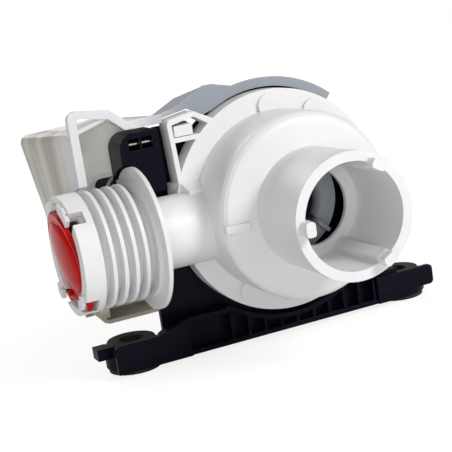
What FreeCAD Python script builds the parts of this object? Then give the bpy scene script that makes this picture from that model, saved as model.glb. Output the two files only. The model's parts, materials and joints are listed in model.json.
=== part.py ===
"""Washer drain pump: white volute cover with a wide suction spigot, ribbed outlet with a
non-return flap, synchronous motor behind it, black base with rubber feet, grey drip hood.

Frame: X to the right (the outlet points to -X), Y to the back (the suction spigot points
to -Y), Z up. The origin is on the ground, midway between the two foot holes. Millimetres.
"""
import FreeCAD, Part
import math
import os
import re
import Sketcher

os.makedirs("parts", exist_ok=True)
doc = FreeCAD.newDocument("drain_pump")
sheet = doc.addObject("Spreadsheet::Sheet", "dims")

# Driving dimensions: name, value, what it is. Each piece is drawn about the point where the
# shaft meets the cover's flange face: x and z count from the shaft, y from that face.
# A value that starts with = follows other sizes.
SIZES = [
    ("axis_height", 70.5, "shaft above the ground"),
    ("wall", 2.8, "moulded wall of the volute cover"),
    ("fit_gap", 0.3, "clearance between parts that are slid together"),
    ("seat_gap", 0.1, "clearance of a seated face or ring"),
    ("rim_radius", 30.0, "suction spigot, outer radius"),
    ("bore_radius", 25.2, "suction spigot, bore radius"),
    ("rim_reach", 76.3, "spigot rim in front of the flange face"),
    ("bead_width", 8.0, "thicker band behind the rim"),
    ("bead_rise", 0.5, "height of that band"),
    ("eye_radius", 19.3, "inlet eye in the ledge"),
    ("ledge_reach", 33.0, "ledge in front of the flange face"),
    ("ledge_thickness", 2.6, "ledge"),
    ("rib_width", 6.0, "ribs in the spigot bore"),
    ("rib_height", 2.6, "ribs in the spigot bore"),
    ("nub_width", 7.0, "stop nubs on the rim"),
    ("nub_depth", 4.8, "stop nubs, radially"),
    ("nub_reach", 5.5, "stop nubs in front of the rim"),
    ("nub_round", 1.6, "corner radius of the nubs"),
    ("dome_radius", 46.5, "volute dome"),
    ("dome_front", 35.2, "dome front at the spigot"),
    ("shoulder_drop", 3.0, "slope of the dome front"),
    ("shoulder_radius", 6.0, "round between dome wall and front"),
    ("flange_radius", 56.6, "flange"),
    ("skirt_depth", 11.0, "skirt behind the flange face"),
    ("skirt_wall", 2.5, "skirt wall"),
    ("boss_radius", 5.7, "screw bosses on the flange"),
    ("boss_circle", "=flange_radius - 7.8", "radius that the boss centres lie on"),
    ("boss_rise", 1.5, "bosses above the flange"),
    ("boss_angle", 90.0, "first boss, from +X"),
    ("boss_step", 30.0, "angle between the bosses of a pair"),
    ("mark_inner", 34.0, "alignment bar, inner end"),
    ("mark_outer", 45.8, "alignment bar, outer end"),
    ("mark_width", 3.8, "alignment bar"),
    ("mark_rise", 1.8, "alignment bar above the dome"),
    ("pipe_radius", 18.0, "outlet pipe"),
    ("pipe_bore", 15.2, "outlet pipe bore"),
    ("outlet_drop", 3.2, "outlet axis below the shaft"),
    ("outlet_front", 0.5, "outlet axis in front of the flange face"),
    ("disc_x", 77.1, "outer face of the outlet disc"),
    ("disc_thickness", 2.1, "outlet disc"),
    ("disc_radius", 35.3, "outlet disc"),
    ("socket_depth", 5.0, "pipe end inside the fitting"),
    ("hub_width", 2.1, "hub beside the disc"),
    ("ring_radius", 28.6, "hose rings"),
    ("collar_radius", "=ring_radius + 0.5", "end collar"),
    ("core_radius", 23.2, "core between the rings"),
    ("ring_thickness", 1.9, "hose ring"),
    ("ring_pitch", 5.43, "hose ring pitch"),
    ("ring_first", 83.4, "inner face of the first ring"),
    ("ring_number", 4, "hose rings"),
    ("collar_start", 105.5, "inner face of the end collar"),
    ("collar_end", 115.3, "end face of the collar"),
    ("chamber_radius", 25.5, "valve chamber in the collar"),
    ("chamber_depth", 8.4, "valve chamber"),
    ("notch_angle", 45.0, "notches, from the outlet's side"),
    ("notch_width", 6.8, "notches in the collar"),
    ("notch_depth", 6.4, "notches in the collar"),
    ("cage_wall", 2.9, "valve cage ring"),
    ("lip_width", 2.8, "valve seat lip"),
    ("lip_thickness", 1.6, "valve seat lip"),
    ("finger_reach", 2.0, "cage fingers in front of the collar"),
    ("finger_outer", 20.5, "lower fingers, outer side from the middle"),
    ("finger_inner", 14.0, "lower fingers, inner side from the middle"),
    ("finger_step", 17.5, "lower fingers, inner side of their root"),
    ("finger_top", 15.9, "lower fingers, top below the outlet axis"),
    ("finger_low", 23.0, "lower fingers, underside below the outlet axis"),
    ("hook_inner", 22.6, "upper hooks, inner radius"),
    ("hook_outer", 27.4, "upper hooks, outer radius"),
    ("hook_start", 46.0, "upper hooks, lower end"),
    ("hook_end", 76.0, "upper hooks, upper end"),
    ("claw_start", 55.0, "lugs on the upper hooks, lower end"),
    ("claw_end", 63.0, "lugs on the upper hooks, upper end"),
    ("flap_radius", 21.6, "non-return flap"),
    ("flap_thickness", 2.2, "non-return flap"),
    ("flap_rim", 3.6, "thick edge of the flap"),
    ("flap_dish", 0.9, "hollow in the flap's face"),
    ("hinge_drop", 22.2, "flap hinge below the outlet axis"),
    ("hinge_inset", 2.7, "flap hinge behind the collar's end face"),
    ("pin_radius", 1.5, "flap hinge bar"),
    ("ear_half", 2.9, "half height of the hinge ears"),
    ("slot_distance", 9.4, "hinge slots of the collar, from the middle"),
    ("ear_distance", 12.9, "hinge ears, from the middle"),
    ("flap_ajar", 8.0, "the flap stands open this far at rest"),
    ("arm_out", "=flange_radius - 1.8", "latch arm, outer side"),
    ("arm_top", 50.4, "latch arm, outer corner"),
    ("arm_apex_x", "=flange_radius - 16.5", "latch arm, apex"),
    ("arm_apex_z", 53.0, "latch arm, apex"),
    ("arm_root_x", "=flange_radius - 28.6", "latch arm, root in the flange"),
    ("arm_root_z", 46.4, "latch arm, root in the flange"),
    ("arm_foot_x", "=flange_radius - 14.6", "latch arm, foot on the pipe"),
    ("arm_foot_z", 12.5, "latch arm, foot on the pipe"),
    ("arm_lean", 1.6, "the arm leans in towards its foot"),
    ("arm_depth", 11.0, "latch arm"),
    ("arm_bar_z", 41.6, "latch arm crossbar, top side"),
    ("strap", 2.4, "latch arm strap"),
    ("pad_top", 19.4, "pad of the arm on the pipe, top"),
    ("pad_low", 15.6, "pad of the arm on the pipe, front edge"),
    ("pad_front", 6.5, "pad in front of the flange face"),
    ("pad_left", 51.0, "pad, front left corner"),
    ("pad_left_back", 56.0, "pad, rear left corner"),
    ("plug_radius", 43.4, "motor plate plug in the volute"),
    ("plug_reach", 1.5, "plug in front of the flange face"),
    ("plate_front", 3.0, "motor plate front face"),
    ("plate_thickness", 3.2, "motor plate"),
    ("plate_radius", "=flange_radius - skirt_wall - fit_gap", "motor plate"),
    ("seal_radius", 1.1, "sealing ring, half its thickness"),
    ("seal_seat", 41.3, "groove of the sealing ring"),
    ("well_bore", 14.1, "rotor well"),
    ("well_wall", 2.0, "rotor well"),
    ("well_step", 55.0, "rotor well narrows"),
    ("well_end", 66.0, "rotor well end"),
    ("bearing_pocket", 9.9, "pocket of the bearing rubber"),
    ("cover_radius", 19.8, "bearing cover flange"),
    ("cover_thickness", 2.6, "bearing cover flange"),
    ("cover_depth", 9.5, "bearing cover rear face"),
    ("shaft_radius", 3.0, "shaft"),
    ("shaft_front", 14.0, "shaft end in front of the flange face"),
    ("shaft_back", 63.2, "shaft end behind the flange face"),
    ("shaft_gap", 0.05, "running clearance of the shaft"),
    ("bush_radius", 6.0, "bearing bush"),
    ("bush_length", 7.8, "bearing bush"),
    ("front_bush_y", 1.3, "front bush"),
    ("washer_radius", 6.6, "thrust washer"),
    ("washer_thickness", 0.8, "thrust washer"),
    ("magnet_radius", 12.0, "rotor magnet"),
    ("magnet_front", 16.0, "rotor magnet"),
    ("magnet_back", 53.0, "rotor magnet"),
    ("sleeve_wall", 1.4, "magnet sleeve"),
    ("impeller_radius", 28.0, "impeller disc"),
    ("impeller_back", 3.2, "impeller disc, rear face"),
    ("impeller_disc", 2.4, "impeller disc"),
    ("vane_front", 11.4, "front edge of the vanes"),
    ("vane_thickness", 2.0, "impeller vane"),
    ("vane_number", 4, "impeller vanes"),
    ("vane_turn", 44.0, "the impeller's rest angle"),
    ("hub_radius", 9.6, "impeller hub"),
    ("hub_front", 14.5, "impeller hub nose"),
    ("dog_room", 7.6, "dog chamber in the impeller hub"),
    ("dog_boss", 4.6, "dog boss on the shaft"),
    ("dog_angle", 60.0, "width of a dog"),
    ("core_front", 27.6, "lamination stack, front face"),
    ("core_depth", 24.0, "lamination stack"),
    ("core_left", "=flange_radius + 16.8", "lamination stack, outer side of the yoke"),
    ("core_right", 20.5, "lamination stack, pole end"),
    ("core_half", 25.0, "lamination stack, half height"),
    ("core_slot", 9.0, "slot between the limbs, half height"),
    ("yoke", 12.0, "lamination yoke"),
    ("pole_gap", 5.0, "gap between the poles"),
    ("coil_left", "=flange_radius + 4.4", "coil bobbin, yoke side"),
    ("coil_right", 24.0, "coil bobbin, pole side"),
    ("bobbin_wall", 1.4, "coil bobbin"),
    ("coil_build", 7.6, "coil and bobbin round the limb"),
    ("bobbin_round", 5.0, "corner radius of the bobbin flange"),
    ("block_left", "=block_right + 21", "terminal block"),
    ("block_right", "=flange_radius + 1.4", "terminal block"),
    ("block_top", 47.6, "terminal block"),
    ("block_bottom", 17.0, "terminal block"),
    ("block_front", 4.0, "terminal block"),
    ("block_depth", 19.0, "terminal block"),
    ("block_round", 8.0, "terminal block, outer top corner"),
    ("socket_top", 44.9, "plug sockets"),
    ("socket_bottom", 39.2, "plug sockets"),
    ("socket_left", "=block_left - 5", "first socket"),
    ("socket_width", 5.4, "plug sockets"),
    ("socket_pitch", 6.7, "plug sockets"),
    ("socket_deep", 9.0, "plug sockets"),
    ("tab_thickness", 0.8, "blade terminals"),
    ("tab_width", 4.8, "blade terminals"),
    ("tab_length", 6.8, "blade terminals"),
    ("bar_bottom", "=axis_height - 2.5", "base bar underside, below the shaft"),
    ("bar_front", 2.0, "base bar front"),
    ("bar_depth", 15.0, "base bar"),
    ("bar_plate", 2.4, "base bar strips"),
    ("web_front", 8.0, "base web"),
    ("web_thickness", 4.0, "base web"),
    ("bar_left_top", 48.4, "base web, upper edge at the left"),
    ("bar_right_top", 51.0, "base web, upper edge at the right"),
    ("bar_left", 60.0, "base web, left end of the frame"),
    ("bar_right", 62.0, "base web, right end of the frame"),
    ("cradle_radius", "=flange_radius + 3", "cradle under the flange"),
    ("base_rib_pitch", 9.3, "ribs of the base web"),
    ("base_rib_first", 37.0, "first rib, left of the shaft"),
    ("base_rib_number", 10, "ribs of the base web"),
    ("ring_plate_front", 11.6, "clamp ring behind the cover"),
    ("ring_plate_depth", 3.0, "clamp ring"),
    ("ring_plate_inner", 44.0, "clamp ring"),
    ("ring_plate_outer", "=flange_radius + 1", "clamp ring"),
    ("wing_left", 70.0, "side wall behind the outlet pipe"),
    ("wing_right", 40.0, "side wall behind the outlet pipe"),
    ("eye_left", 86.0, "left foot"),
    ("eye_right", 70.0, "right foot"),
    ("eye_y", 17.0, "feet, behind the flange face"),
    ("eye_outer", 14.5, "foot ring of the base"),
    ("eye_bore", 10.5, "foot ring of the base"),
    ("eye_bottom", "=axis_height - 2.5", "foot ring underside"),
    ("eye_top", "=axis_height - 12.7", "foot ring top"),
    ("foot_wall_front", 0.8, "wall in front of each foot"),
    ("foot_wall", 2.3, "wall in front of each foot"),
    ("foot_wall_top", "=axis_height - 17.0", "wall in front of each foot, top"),
    ("foot_wall_low", "=axis_height - 6.2", "right foot wall, underside at its end"),
    ("foot_wall_left", "=eye_left + 13.5", "left foot wall, end"),
    ("foot_wall_right", "=eye_right + 13.7", "right foot wall, end"),
    ("foot_wall_start", "=eye_right - 21", "right foot wall, start"),
    ("ear_width", 9.0, "end ear"),
    ("ear_top", "=axis_height - 15.3", "end ear, top"),
    ("ear_left", 106.3, "end ear, end"),
    ("ear_bottom", "=axis_height - 9.5", "end ear, underside"),
    ("ear_y", 14.0, "end ear, middle"),
    ("grommet_flange", 13.4, "rubber foot flange"),
    ("grommet_bore", 6.0, "rubber foot bore"),
    ("grommet_top", "=axis_height - 15.1", "rubber foot top, below the shaft"),
    ("hood_wall", 2.0, "hood wall"),
    ("hood_front", 6.0, "hood wall, front edge"),
    ("hood_back", 62.0, "hood back edge"),
    ("hood_left", 101.8, "hood, left side at the front"),
    ("hood_left_back", 113.2, "hood, upper left corner at the back"),
    ("hood_low_back", 99.3, "hood, lower left corner at the back"),
    ("hood_bottom", 42.4, "hood underside, below the shaft"),
    ("hood_low_right", 72.5, "hood underside, right end"),
    ("hood_round", 4.0, "hood, rounded upper left corner"),
    ("low_round", 3.5, "hood, rounded lower left corner"),
    ("hood_edge_z", 53.4, "hood top at the left, front"),
    ("hood_edge_back", 51.0, "hood top at the left, back"),
    ("hood_mid_x", 79.0, "hood top, start of the step"),
    ("hood_mid_z", 59.0, "hood top, start of the step, front"),
    ("hood_mid_back", 52.4, "hood top, start of the step, back"),
    ("hood_step_x", 55.0, "hood top, foot of the step"),
    ("hood_step_z", 53.4, "hood top, foot of the step, front"),
    ("hood_step_back", 50.4, "hood top, foot of the step, back"),
    ("ramp_x", "=flange_radius - 10.6", "hood ramp, break"),
    ("ramp_z", "=flange_radius - 1.2", "hood ramp, break"),
    ("hump_x", "=flange_radius - 29.6", "hood hump"),
    ("hump_z", "=flange_radius + 7.6", "hood hump"),
    ("ramp_drop", 7.4, "fall of ramp and arch towards the back"),
    ("arch_front", 8.4, "hood arch front edge"),
    ("arch_back", 54.0, "hood arch back edge"),
    ("arch_radius", "=flange_radius + 5.9", "hood arch over the motor"),
    ("arch_start", 50.0, "hood arch, right end from +X"),
    ("arch_end", 103.0, "hood arch, left end from +X"),
    ("brow_end", 118.0, "plate under the arch, left end from +X"),
    ("outlet_room", 30.2, "cut for the hose rings, radius"),
    ("disc_room", 36.0, "cut for the outlet disc, radius"),
    ("panel_front", 28.0, "hood panel"),
    ("panel_right", 64.0, "hood panel, right edge"),
    ("panel_top", 52.4, "hood panel, top"),
    ("window_left", 87.8, "window in the hood panel"),
    ("window_top", 25.8, "window in the hood panel"),
    ("window_band", 2.3, "raised rim round the window, width"),
    ("window_lip", 1.2, "raised rim round the window, height"),
    ("window_bottom", 30.0, "window in the hood panel, below the shaft"),
    ("window_round", 3.5, "window corner radius"),
    ("rim_front", 5.0, "hood rim front face"),
    ("rim_depth", 4.0, "hood rim"),
    ("rim_band", 4.2, "hood rim"),
    ("rim_left_z", 63.4, "hood rim, upper left corner"),
    ("rim_mid_x", 80.4, "hood rim, where the top steps down"),
    ("rim_mid_z", 60.5, "hood rim, where the top steps down"),
    ("rim_end_x", 72.8, "hood rim, foot of the step"),
    ("rim_end_z", 53.8, "hood rim, foot of the step"),
    ("screw_radius", 2.0, "cover screw shank"),
    ("screw_head", 4.0, "cover screw head"),
    ("screw_head_height", 2.6, "cover screw head"),
    ("screw_length", 12.0, "cover screw shank"),
    ("screw_circle", "=flange_radius - 6.4", "radius that the cover screws lie on"),
]
NAMES = {name for name, _, _ in SIZES}
for row, (name, size, meaning) in enumerate(SIZES, 1):
    sheet.set(f"A{row}", meaning)
    sheet.set(f"B{row}", str(size))
    sheet.setAlias(f"B{row}", name)
doc.recompute()


def tied(text):
    """The expression with each size name written as a cell of the sheet."""
    return re.sub(r"[a-z_]+", lambda m: "dims." + m[0] if m[0] in NAMES else m[0], str(text))


def number(text):
    """The expression's present value."""
    return float(sheet.evalExpression(tied(text)))


PIECES = []


def put(body, x="0", y="0", z="0"):
    """Sets the body's own origin, counted from the shaft at the flange face."""
    shaft = ("(eye_left - eye_right) / 2", "-eye_y", "axis_height")
    for axis, base, place in zip("xyz", shaft, (x, y, z)):
        body.setExpression(f"Placement.Base.{axis}", tied(f"{base} + ({place})"))
    PIECES.append(body)


def piece(label, x="0", y="0", z="0"):
    body = doc.addObject("PartDesign::Body", label)
    body.Label = label
    put(body, x, y, z)
    return body


def origin_part(body, role):
    return next(part for part in body.Origin.OriginFeatures if part.Role == role)


def sketch_on(body, name, role, offset="0"):
    sketch = body.newObject("Sketcher::SketchObject", f"{body.Label}_{name}")
    sketch.AttachmentSupport = [(origin_part(body, role), "")]
    sketch.MapMode = "FlatFace"
    sketch.setExpression("AttachmentOffset.Base.z", tied(offset))
    return sketch


def front_sketch(body, name, y="0"):
    """A sketch in X and Z, in the plane at y."""
    return sketch_on(body, name, "XZ_Plane", f"-({y})")


def level_sketch(body, name, z="0"):
    """A sketch in X and Y, in the plane at z."""
    return sketch_on(body, name, "XY_Plane", z)


def side_sketch(body, name, x="0"):
    """A sketch in Y and Z, in the plane at x."""
    return sketch_on(body, name, "YZ_Plane", x)


def tie(sketch, constraint, expression):
    index = sketch.addConstraint(constraint)
    sketch.setExpression(f"Constraints[{index}]", tied(expression))


def place_point(sketch, geometry, point, x, z):
    tie(sketch, Sketcher.Constraint("DistanceX", -1, 1, geometry, point, number(x)), x)
    tie(sketch, Sketcher.Constraint("DistanceY", -1, 1, geometry, point, number(z)), z)


def circle(sketch, x, z, radius):
    centre = FreeCAD.Vector(number(x), number(z), 0)
    edge = sketch.addGeometry(Part.Circle(centre, FreeCAD.Vector(0, 0, 1), number(radius)))
    place_point(sketch, edge, 3, x, z)
    tie(sketch, Sketcher.Constraint("Radius", edge, number(radius)), radius)


def outline(sketch, corners):
    """A closed outline through corners (x, z) or, for a rounded corner, (x, z, radius)."""
    count = len(corners)
    spots = [FreeCAD.Vector(number(c[0]), number(c[1]), 0) for c in corners]
    starts, ends, arcs = {}, {}, {}
    for i, corner in enumerate(corners):
        before, spot, after = spots[i - 1], spots[i], spots[(i + 1) % count]
        if len(corner) < 3:
            ends[i], starts[i] = spot, spot
            continue
        radius = number(corner[2])
        u = (before - spot).normalize()
        v = (after - spot).normalize()
        half = math.acos(max(-1.0, min(1.0, u.dot(v)))) / 2
        reach = radius / math.tan(half)
        ends[i], starts[i] = spot + u * reach, spot + v * reach
        middle = spot + (u + v).normalize() * (radius / math.sin(half))
        turn = [math.atan2(end.y - middle.y, end.x - middle.x) for end in (ends[i], starts[i])]
        forward = (turn[1] - turn[0]) % (2 * math.pi) < math.pi
        whole = Part.Circle(middle, FreeCAD.Vector(0, 0, 1), radius)
        arcs[i] = (Part.ArcOfCircle(whole, *(turn if forward else turn[::-1])), forward)
    lines = []
    for i in range(count):
        lines.append(sketch.addGeometry(Part.LineSegment(starts[i], ends[(i + 1) % count])))
    for i, corner in enumerate(corners):
        into, out = lines[i - 1], lines[i]
        if i not in arcs:
            sketch.addConstraint(Sketcher.Constraint("Coincident", into, 2, out, 1))
            place_point(sketch, out, 1, corner[0], corner[1])
            continue
        mark = sketch.addGeometry(Part.Point(spots[i]), True)
        place_point(sketch, mark, 1, corner[0], corner[1])
        sketch.addConstraint(Sketcher.Constraint("PointOnObject", mark, 1, into))
        sketch.addConstraint(Sketcher.Constraint("PointOnObject", mark, 1, out))
        arc = sketch.addGeometry(arcs[i][0])
        first = 1 if arcs[i][1] else 2
        sketch.addConstraint(Sketcher.Constraint("Tangent", into, 2, arc, first))
        sketch.addConstraint(Sketcher.Constraint("Tangent", arc, 3 - first, out, 1))
        tie(sketch, Sketcher.Constraint("Radius", arc, number(corner[2])), corner[2])


def box_outline(sketch, left, right, low, high, radius=None):
    corners = [(left, low), (right, low), (right, high), (left, high)]
    if radius:
        corners = [corner + (radius,) for corner in corners]
    outline(sketch, corners)


def ring_sector(sketch, inner, outer, start, end):
    """A piece of a ring about the sketch's origin, between two angles."""
    a, b = math.radians(number(start)), math.radians(number(end))
    small, large = number(inner), number(outer)
    origin, up = FreeCAD.Vector(), FreeCAD.Vector(0, 0, 1)

    def at(radius, angle):
        return FreeCAD.Vector(radius * math.cos(angle), radius * math.sin(angle), 0)

    inside = sketch.addGeometry(Part.ArcOfCircle(Part.Circle(origin, up, small), a, b))
    outside = sketch.addGeometry(Part.ArcOfCircle(Part.Circle(origin, up, large), a, b))
    first = sketch.addGeometry(Part.LineSegment(at(small, a), at(large, a)))
    last = sketch.addGeometry(Part.LineSegment(at(small, b), at(large, b)))
    for arc, radius in ((inside, inner), (outside, outer)):
        sketch.addConstraint(Sketcher.Constraint("Coincident", arc, 3, -1, 1))
        tie(sketch, Sketcher.Constraint("Radius", arc, number(radius)), radius)
    for line, end_point in ((first, 1), (last, 2)):
        sketch.addConstraint(Sketcher.Constraint("Coincident", line, 1, inside, end_point))
        sketch.addConstraint(Sketcher.Constraint("Coincident", line, 2, outside, end_point))
        sketch.addConstraint(Sketcher.Constraint("PointOnObject", -1, 1, line))
    tie(sketch, Sketcher.Constraint("Angle", first, a), start)
    tie(sketch, Sketcher.Constraint("Angle", last, b), end)


def lofted(body, name, sections, kind="AdditiveLoft"):
    """A straight-sided loft from the first sketch to the second."""
    volume = solid_volume(body)
    feature = body.newObject(f"PartDesign::{kind}", f"{body.Label}_{name}")
    feature.Profile = sections[0]
    feature.Sections = sections[1:]
    feature.Ruled = True
    finish_feature(body, feature)
    if kind == "SubtractiveLoft" and solid_volume(body) > volume - 1e-3:
        raise RuntimeError(f"{feature.Label} cuts nothing")
    return feature


def pad(body, name, sketch, length):
    """Adds the sketch's area: backwards from a front sketch, else up or to the right."""
    feature = body.newObject("PartDesign::Pad", f"{body.Label}_{name}")
    feature.Profile = sketch
    feature.setExpression("Length", tied(length))
    feature.Reversed = sketch.AttachmentSupport[0][0].Role == "XZ_Plane"
    return finish_feature(body, feature)


def pocket(body, name, sketch, length):
    """Cuts the sketch's area: backwards from a front sketch, else up or to the right."""
    volume = solid_volume(body)
    feature = body.newObject("PartDesign::Pocket", f"{body.Label}_{name}")
    feature.Profile = sketch
    feature.setExpression("Length", tied(length))
    feature.Reversed = sketch.AttachmentSupport[0][0].Role != "XZ_Plane"
    finish_feature(body, feature)
    if solid_volume(body) > volume - 1e-3:
        raise RuntimeError(f"{feature.Label} cuts nothing")
    return feature


def turned(body, name, sketch, axis, kind="Revolution"):
    """Turns the sketch about its own axis: V_Axis for the shaft, H_Axis for the outlet."""
    volume = solid_volume(body)
    feature = body.newObject(f"PartDesign::{kind}", f"{body.Label}_{name}")
    feature.Profile = sketch
    feature.ReferenceAxis = (sketch, [axis])
    feature.Angle = 360
    finish_feature(body, feature)
    if kind == "Groove" and solid_volume(body) > volume - 1e-3:
        raise RuntimeError(f"{feature.Label} cuts nothing")
    return feature


def repeated(body, name, features, axis, count):
    feature = body.newObject("PartDesign::PolarPattern", f"{body.Label}_{name}")
    feature.Originals = features
    feature.Axis = (origin_part(body, axis), [""])
    feature.Angle = 360
    feature.setExpression("Occurrences", tied(count))
    return finish_feature(body, feature)


def in_a_row(body, name, features, axis, pitch, count, backwards=False):
    feature = body.newObject("PartDesign::LinearPattern", f"{body.Label}_{name}")
    feature.Originals = features
    feature.Direction = (origin_part(body, axis), [""])
    feature.Reversed = backwards
    feature.setExpression("Length", tied(f"({pitch}) * ({count} - 1)"))
    feature.setExpression("Occurrences", tied(count))
    return finish_feature(body, feature)


def finish_feature(body, feature):
    body.Tip = feature
    doc.recompute()
    return feature


def solid_volume(body):
    shape = body.Tip.Shape if body.Tip else None
    return shape.Volume if shape and not shape.isNull() else 0.0


def rounded(body, name, radius, wanted):
    """Rounds the edges of the body that the test wanted(edge) picks."""
    feature = body.newObject("PartDesign::Fillet", f"{body.Label}_{name}")
    edges = [f"Edge{i}" for i, edge in enumerate(body.Tip.Shape.Edges, 1) if wanted(edge)]
    feature.Base = (body.Tip, edges)
    feature.setExpression("Radius", tied(radius))
    return finish_feature(body, feature)


# Pump housing: dome, spigot and flange turned about the shaft, with the outlet pipe, the
# latch arm, screw bosses, bore ribs and rim nubs moulded on.

def shoulder(inset, turns):
    """The dome's rounded shoulder as short flats, on its outside or inside."""
    return [(f"dome_radius - shoulder_radius + (shoulder_radius - {inset}) * cos({turn})",
             f"-dome_front + shoulder_drop + shoulder_radius * 0.84"
             f" - (shoulder_radius - {inset}) * sin({turn})") for turn in turns]


def make_pump_housing():
    body = piece("pump_housing")
    arm = front_sketch(body, "arm_outline")
    outline(arm, [
        ("-arm_root_x", "arm_root_z"),
        ("-arm_apex_x", "arm_apex_z", "strap / 2"),
        ("-arm_out", "arm_top", "strap * 1.3"),
        ("-arm_out + arm_lean", "arm_foot_z"),
        ("-arm_foot_x", "arm_foot_z"),
    ])
    pad(body, "arm", arm, "arm_depth")
    windows = front_sketch(body, "arm_windows")
    outline(windows, [
        ("-arm_root_x - strap", "arm_root_z - strap * 1.1"),
        ("-arm_apex_x", "arm_apex_z - strap * 1.15"),
        ("-arm_out + strap", "arm_top - strap", "strap / 3"),
        ("-arm_out + strap * 1.15", "arm_bar_z"),
        ("-arm_root_x - strap", "arm_bar_z"),
    ])
    outline(windows, [
        ("-arm_root_x - strap", "arm_bar_z - strap"),
        ("-arm_out + strap * 1.2", "arm_bar_z - strap"),
        ("-arm_out + arm_lean + strap", "pipe_radius"),
        ("-arm_foot_x", "pipe_radius"),
    ])
    pocket(body, "arm_cut", windows, "arm_depth")
    gusset = level_sketch(body, "gusset_outline", "pipe_radius / 4")
    outline(gusset, [
        ("-pad_left", "-pad_front"),
        ("-arm_foot_x + strap", "-pad_front"),
        ("-arm_foot_x + strap", "arm_depth"),
        ("-pad_left_back", "arm_depth"),
    ])
    pad(body, "gusset", gusset, "pad_top - pipe_radius / 4")
    slope_cut = side_sketch(body, "gusset_slope", "-pad_left_back")
    outline(slope_cut, [
        ("0", "pad_top"),
        ("-pad_front", "pad_low"),
        ("-pad_front - wall", "pad_low"),
        ("-pad_front - wall", "pad_top + wall"),
        ("0", "pad_top + wall"),
    ])
    pocket(body, "gusset_slope_cut", slope_cut, "pad_left_back - arm_foot_x + 2 * strap")

    shell = level_sketch(body, "shell_outline")
    outline(shell, [
        ("0", "-rim_reach"),
        ("rim_radius", "-rim_reach"),
        ("rim_radius", "-rim_reach + bead_width"),
        ("rim_radius - bead_rise", "-rim_reach + bead_width + bead_rise"),
        ("rim_radius - bead_rise", "-dome_front"),
        *shoulder("0", (80, 60, 40, 20, 0)),
        ("dome_radius", "0"),
        ("flange_radius", "0"),
        ("flange_radius", "skirt_depth"),
        ("0", "skirt_depth"),
    ])
    turned(body, "shell", shell, "V_Axis")
    pipe = side_sketch(body, "pipe_outline", "-disc_x + disc_thickness - socket_depth")
    circle(pipe, "-outlet_front", "-outlet_drop", "pipe_radius")
    pad(body, "pipe", pipe, "disc_x - disc_thickness + socket_depth - dome_radius / 2")
    bosses = front_sketch(body, "boss_circles", "-boss_rise")
    for turn in ("boss_angle", "boss_angle - boss_step"):
        for side in ("", "-"):
            circle(bosses, f"{side}boss_circle * cos({turn})",
                   f"{side}boss_circle * sin({turn})", "boss_radius")
    pad(body, "bosses", bosses, "boss_rise + wall")
    mark = level_sketch(body, "mark_outline", "-mark_width")
    slope = "shoulder_drop / (dome_radius - rim_radius)"
    outline(mark, [
        ("-mark_inner", "-dome_front + wall"),
        ("-mark_inner", f"-dome_front - mark_rise + (mark_inner - rim_radius) * {slope}"),
        ("-mark_outer", f"-dome_front - mark_rise + (mark_outer - rim_radius) * {slope}"),
        ("-mark_outer", "-dome_front + shoulder_drop + shoulder_radius"),
    ])
    pad(body, "mark", mark, "mark_width")

    hollow = level_sketch(body, "hollow_outline")
    outline(hollow, [
        ("0", "-rim_reach - wall"),
        ("bore_radius", "-rim_reach - wall"),
        ("bore_radius", "-ledge_reach"),
        ("eye_radius", "-ledge_reach"),
        ("eye_radius", "-ledge_reach + ledge_thickness"),
        ("bore_radius", "-ledge_reach + ledge_thickness"),
        *shoulder("wall", (80, 40, 0)),
        ("dome_radius - wall", "wall"),
        ("flange_radius - skirt_wall", "wall"),
        ("flange_radius - skirt_wall", "skirt_depth + wall"),
        ("0", "skirt_depth + wall"),
    ])
    turned(body, "hollow", hollow, "V_Axis", "Groove")
    bore = side_sketch(body, "pipe_bore_circle", "-disc_x - socket_depth")
    circle(bore, "-outlet_front", "-outlet_drop", "pipe_bore")
    pocket(body, "pipe_bore", bore, "disc_x + socket_depth - dome_radius + 2 * wall")
    rib = front_sketch(body, "rib_outline", "-rim_reach")
    box_outline(rib, "-bore_radius - bead_rise", "-bore_radius + rib_height",
                "-rib_width / 2", "rib_width / 2")
    ribs = pad(body, "rib", rib, "rim_reach - ledge_reach")
    nub = front_sketch(body, "nub_outline", "-rim_reach - nub_reach")
    middle = "(rim_radius + bore_radius) / 2"
    box_outline(nub, f"-({middle})", f"-({middle}) + nub_depth",
                "-nub_width / 2", "nub_width / 2", "nub_round")
    nubs = pad(body, "nub", nub, "nub_reach + rib_height")
    repeated(body, "ribs_and_nubs", [ribs, nubs], "Y_Axis", "3")
    pilots = front_sketch(body, "pilot_circles", "-boss_rise / 2")
    for turn in ("boss_angle", "boss_angle - boss_step"):
        for side in ("", "-"):
            circle(pilots, f"{side}screw_circle * cos({turn})",
                   f"{side}screw_circle * sin({turn})", "screw_radius + seat_gap")
    pocket(body, "pilots", pilots, "boss_rise + 2 * wall")
    return body


# Outlet fitting: disc, hose rings and end collar, welded over the end of the outlet pipe.

def outlet_piece(label):
    return piece(label, y="-outlet_front", z="-outlet_drop")


def turned_sector(expression_angle, along, across):
    """The corner of a bar that lies across the outlet's axis at an angle."""
    y = f"({along}) * cos({expression_angle}) - ({across}) * sin({expression_angle})"
    z = f"({along}) * sin({expression_angle}) + ({across}) * cos({expression_angle})"
    return y, z


def cross_bar(sketch, angle, start, end, width):
    half = f"({width}) / 2"
    outline(sketch, [
        turned_sector(angle, start, f"-{half}"),
        turned_sector(angle, end, f"-{half}"),
        turned_sector(angle, end, half),
        turned_sector(angle, start, half),
    ])


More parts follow.
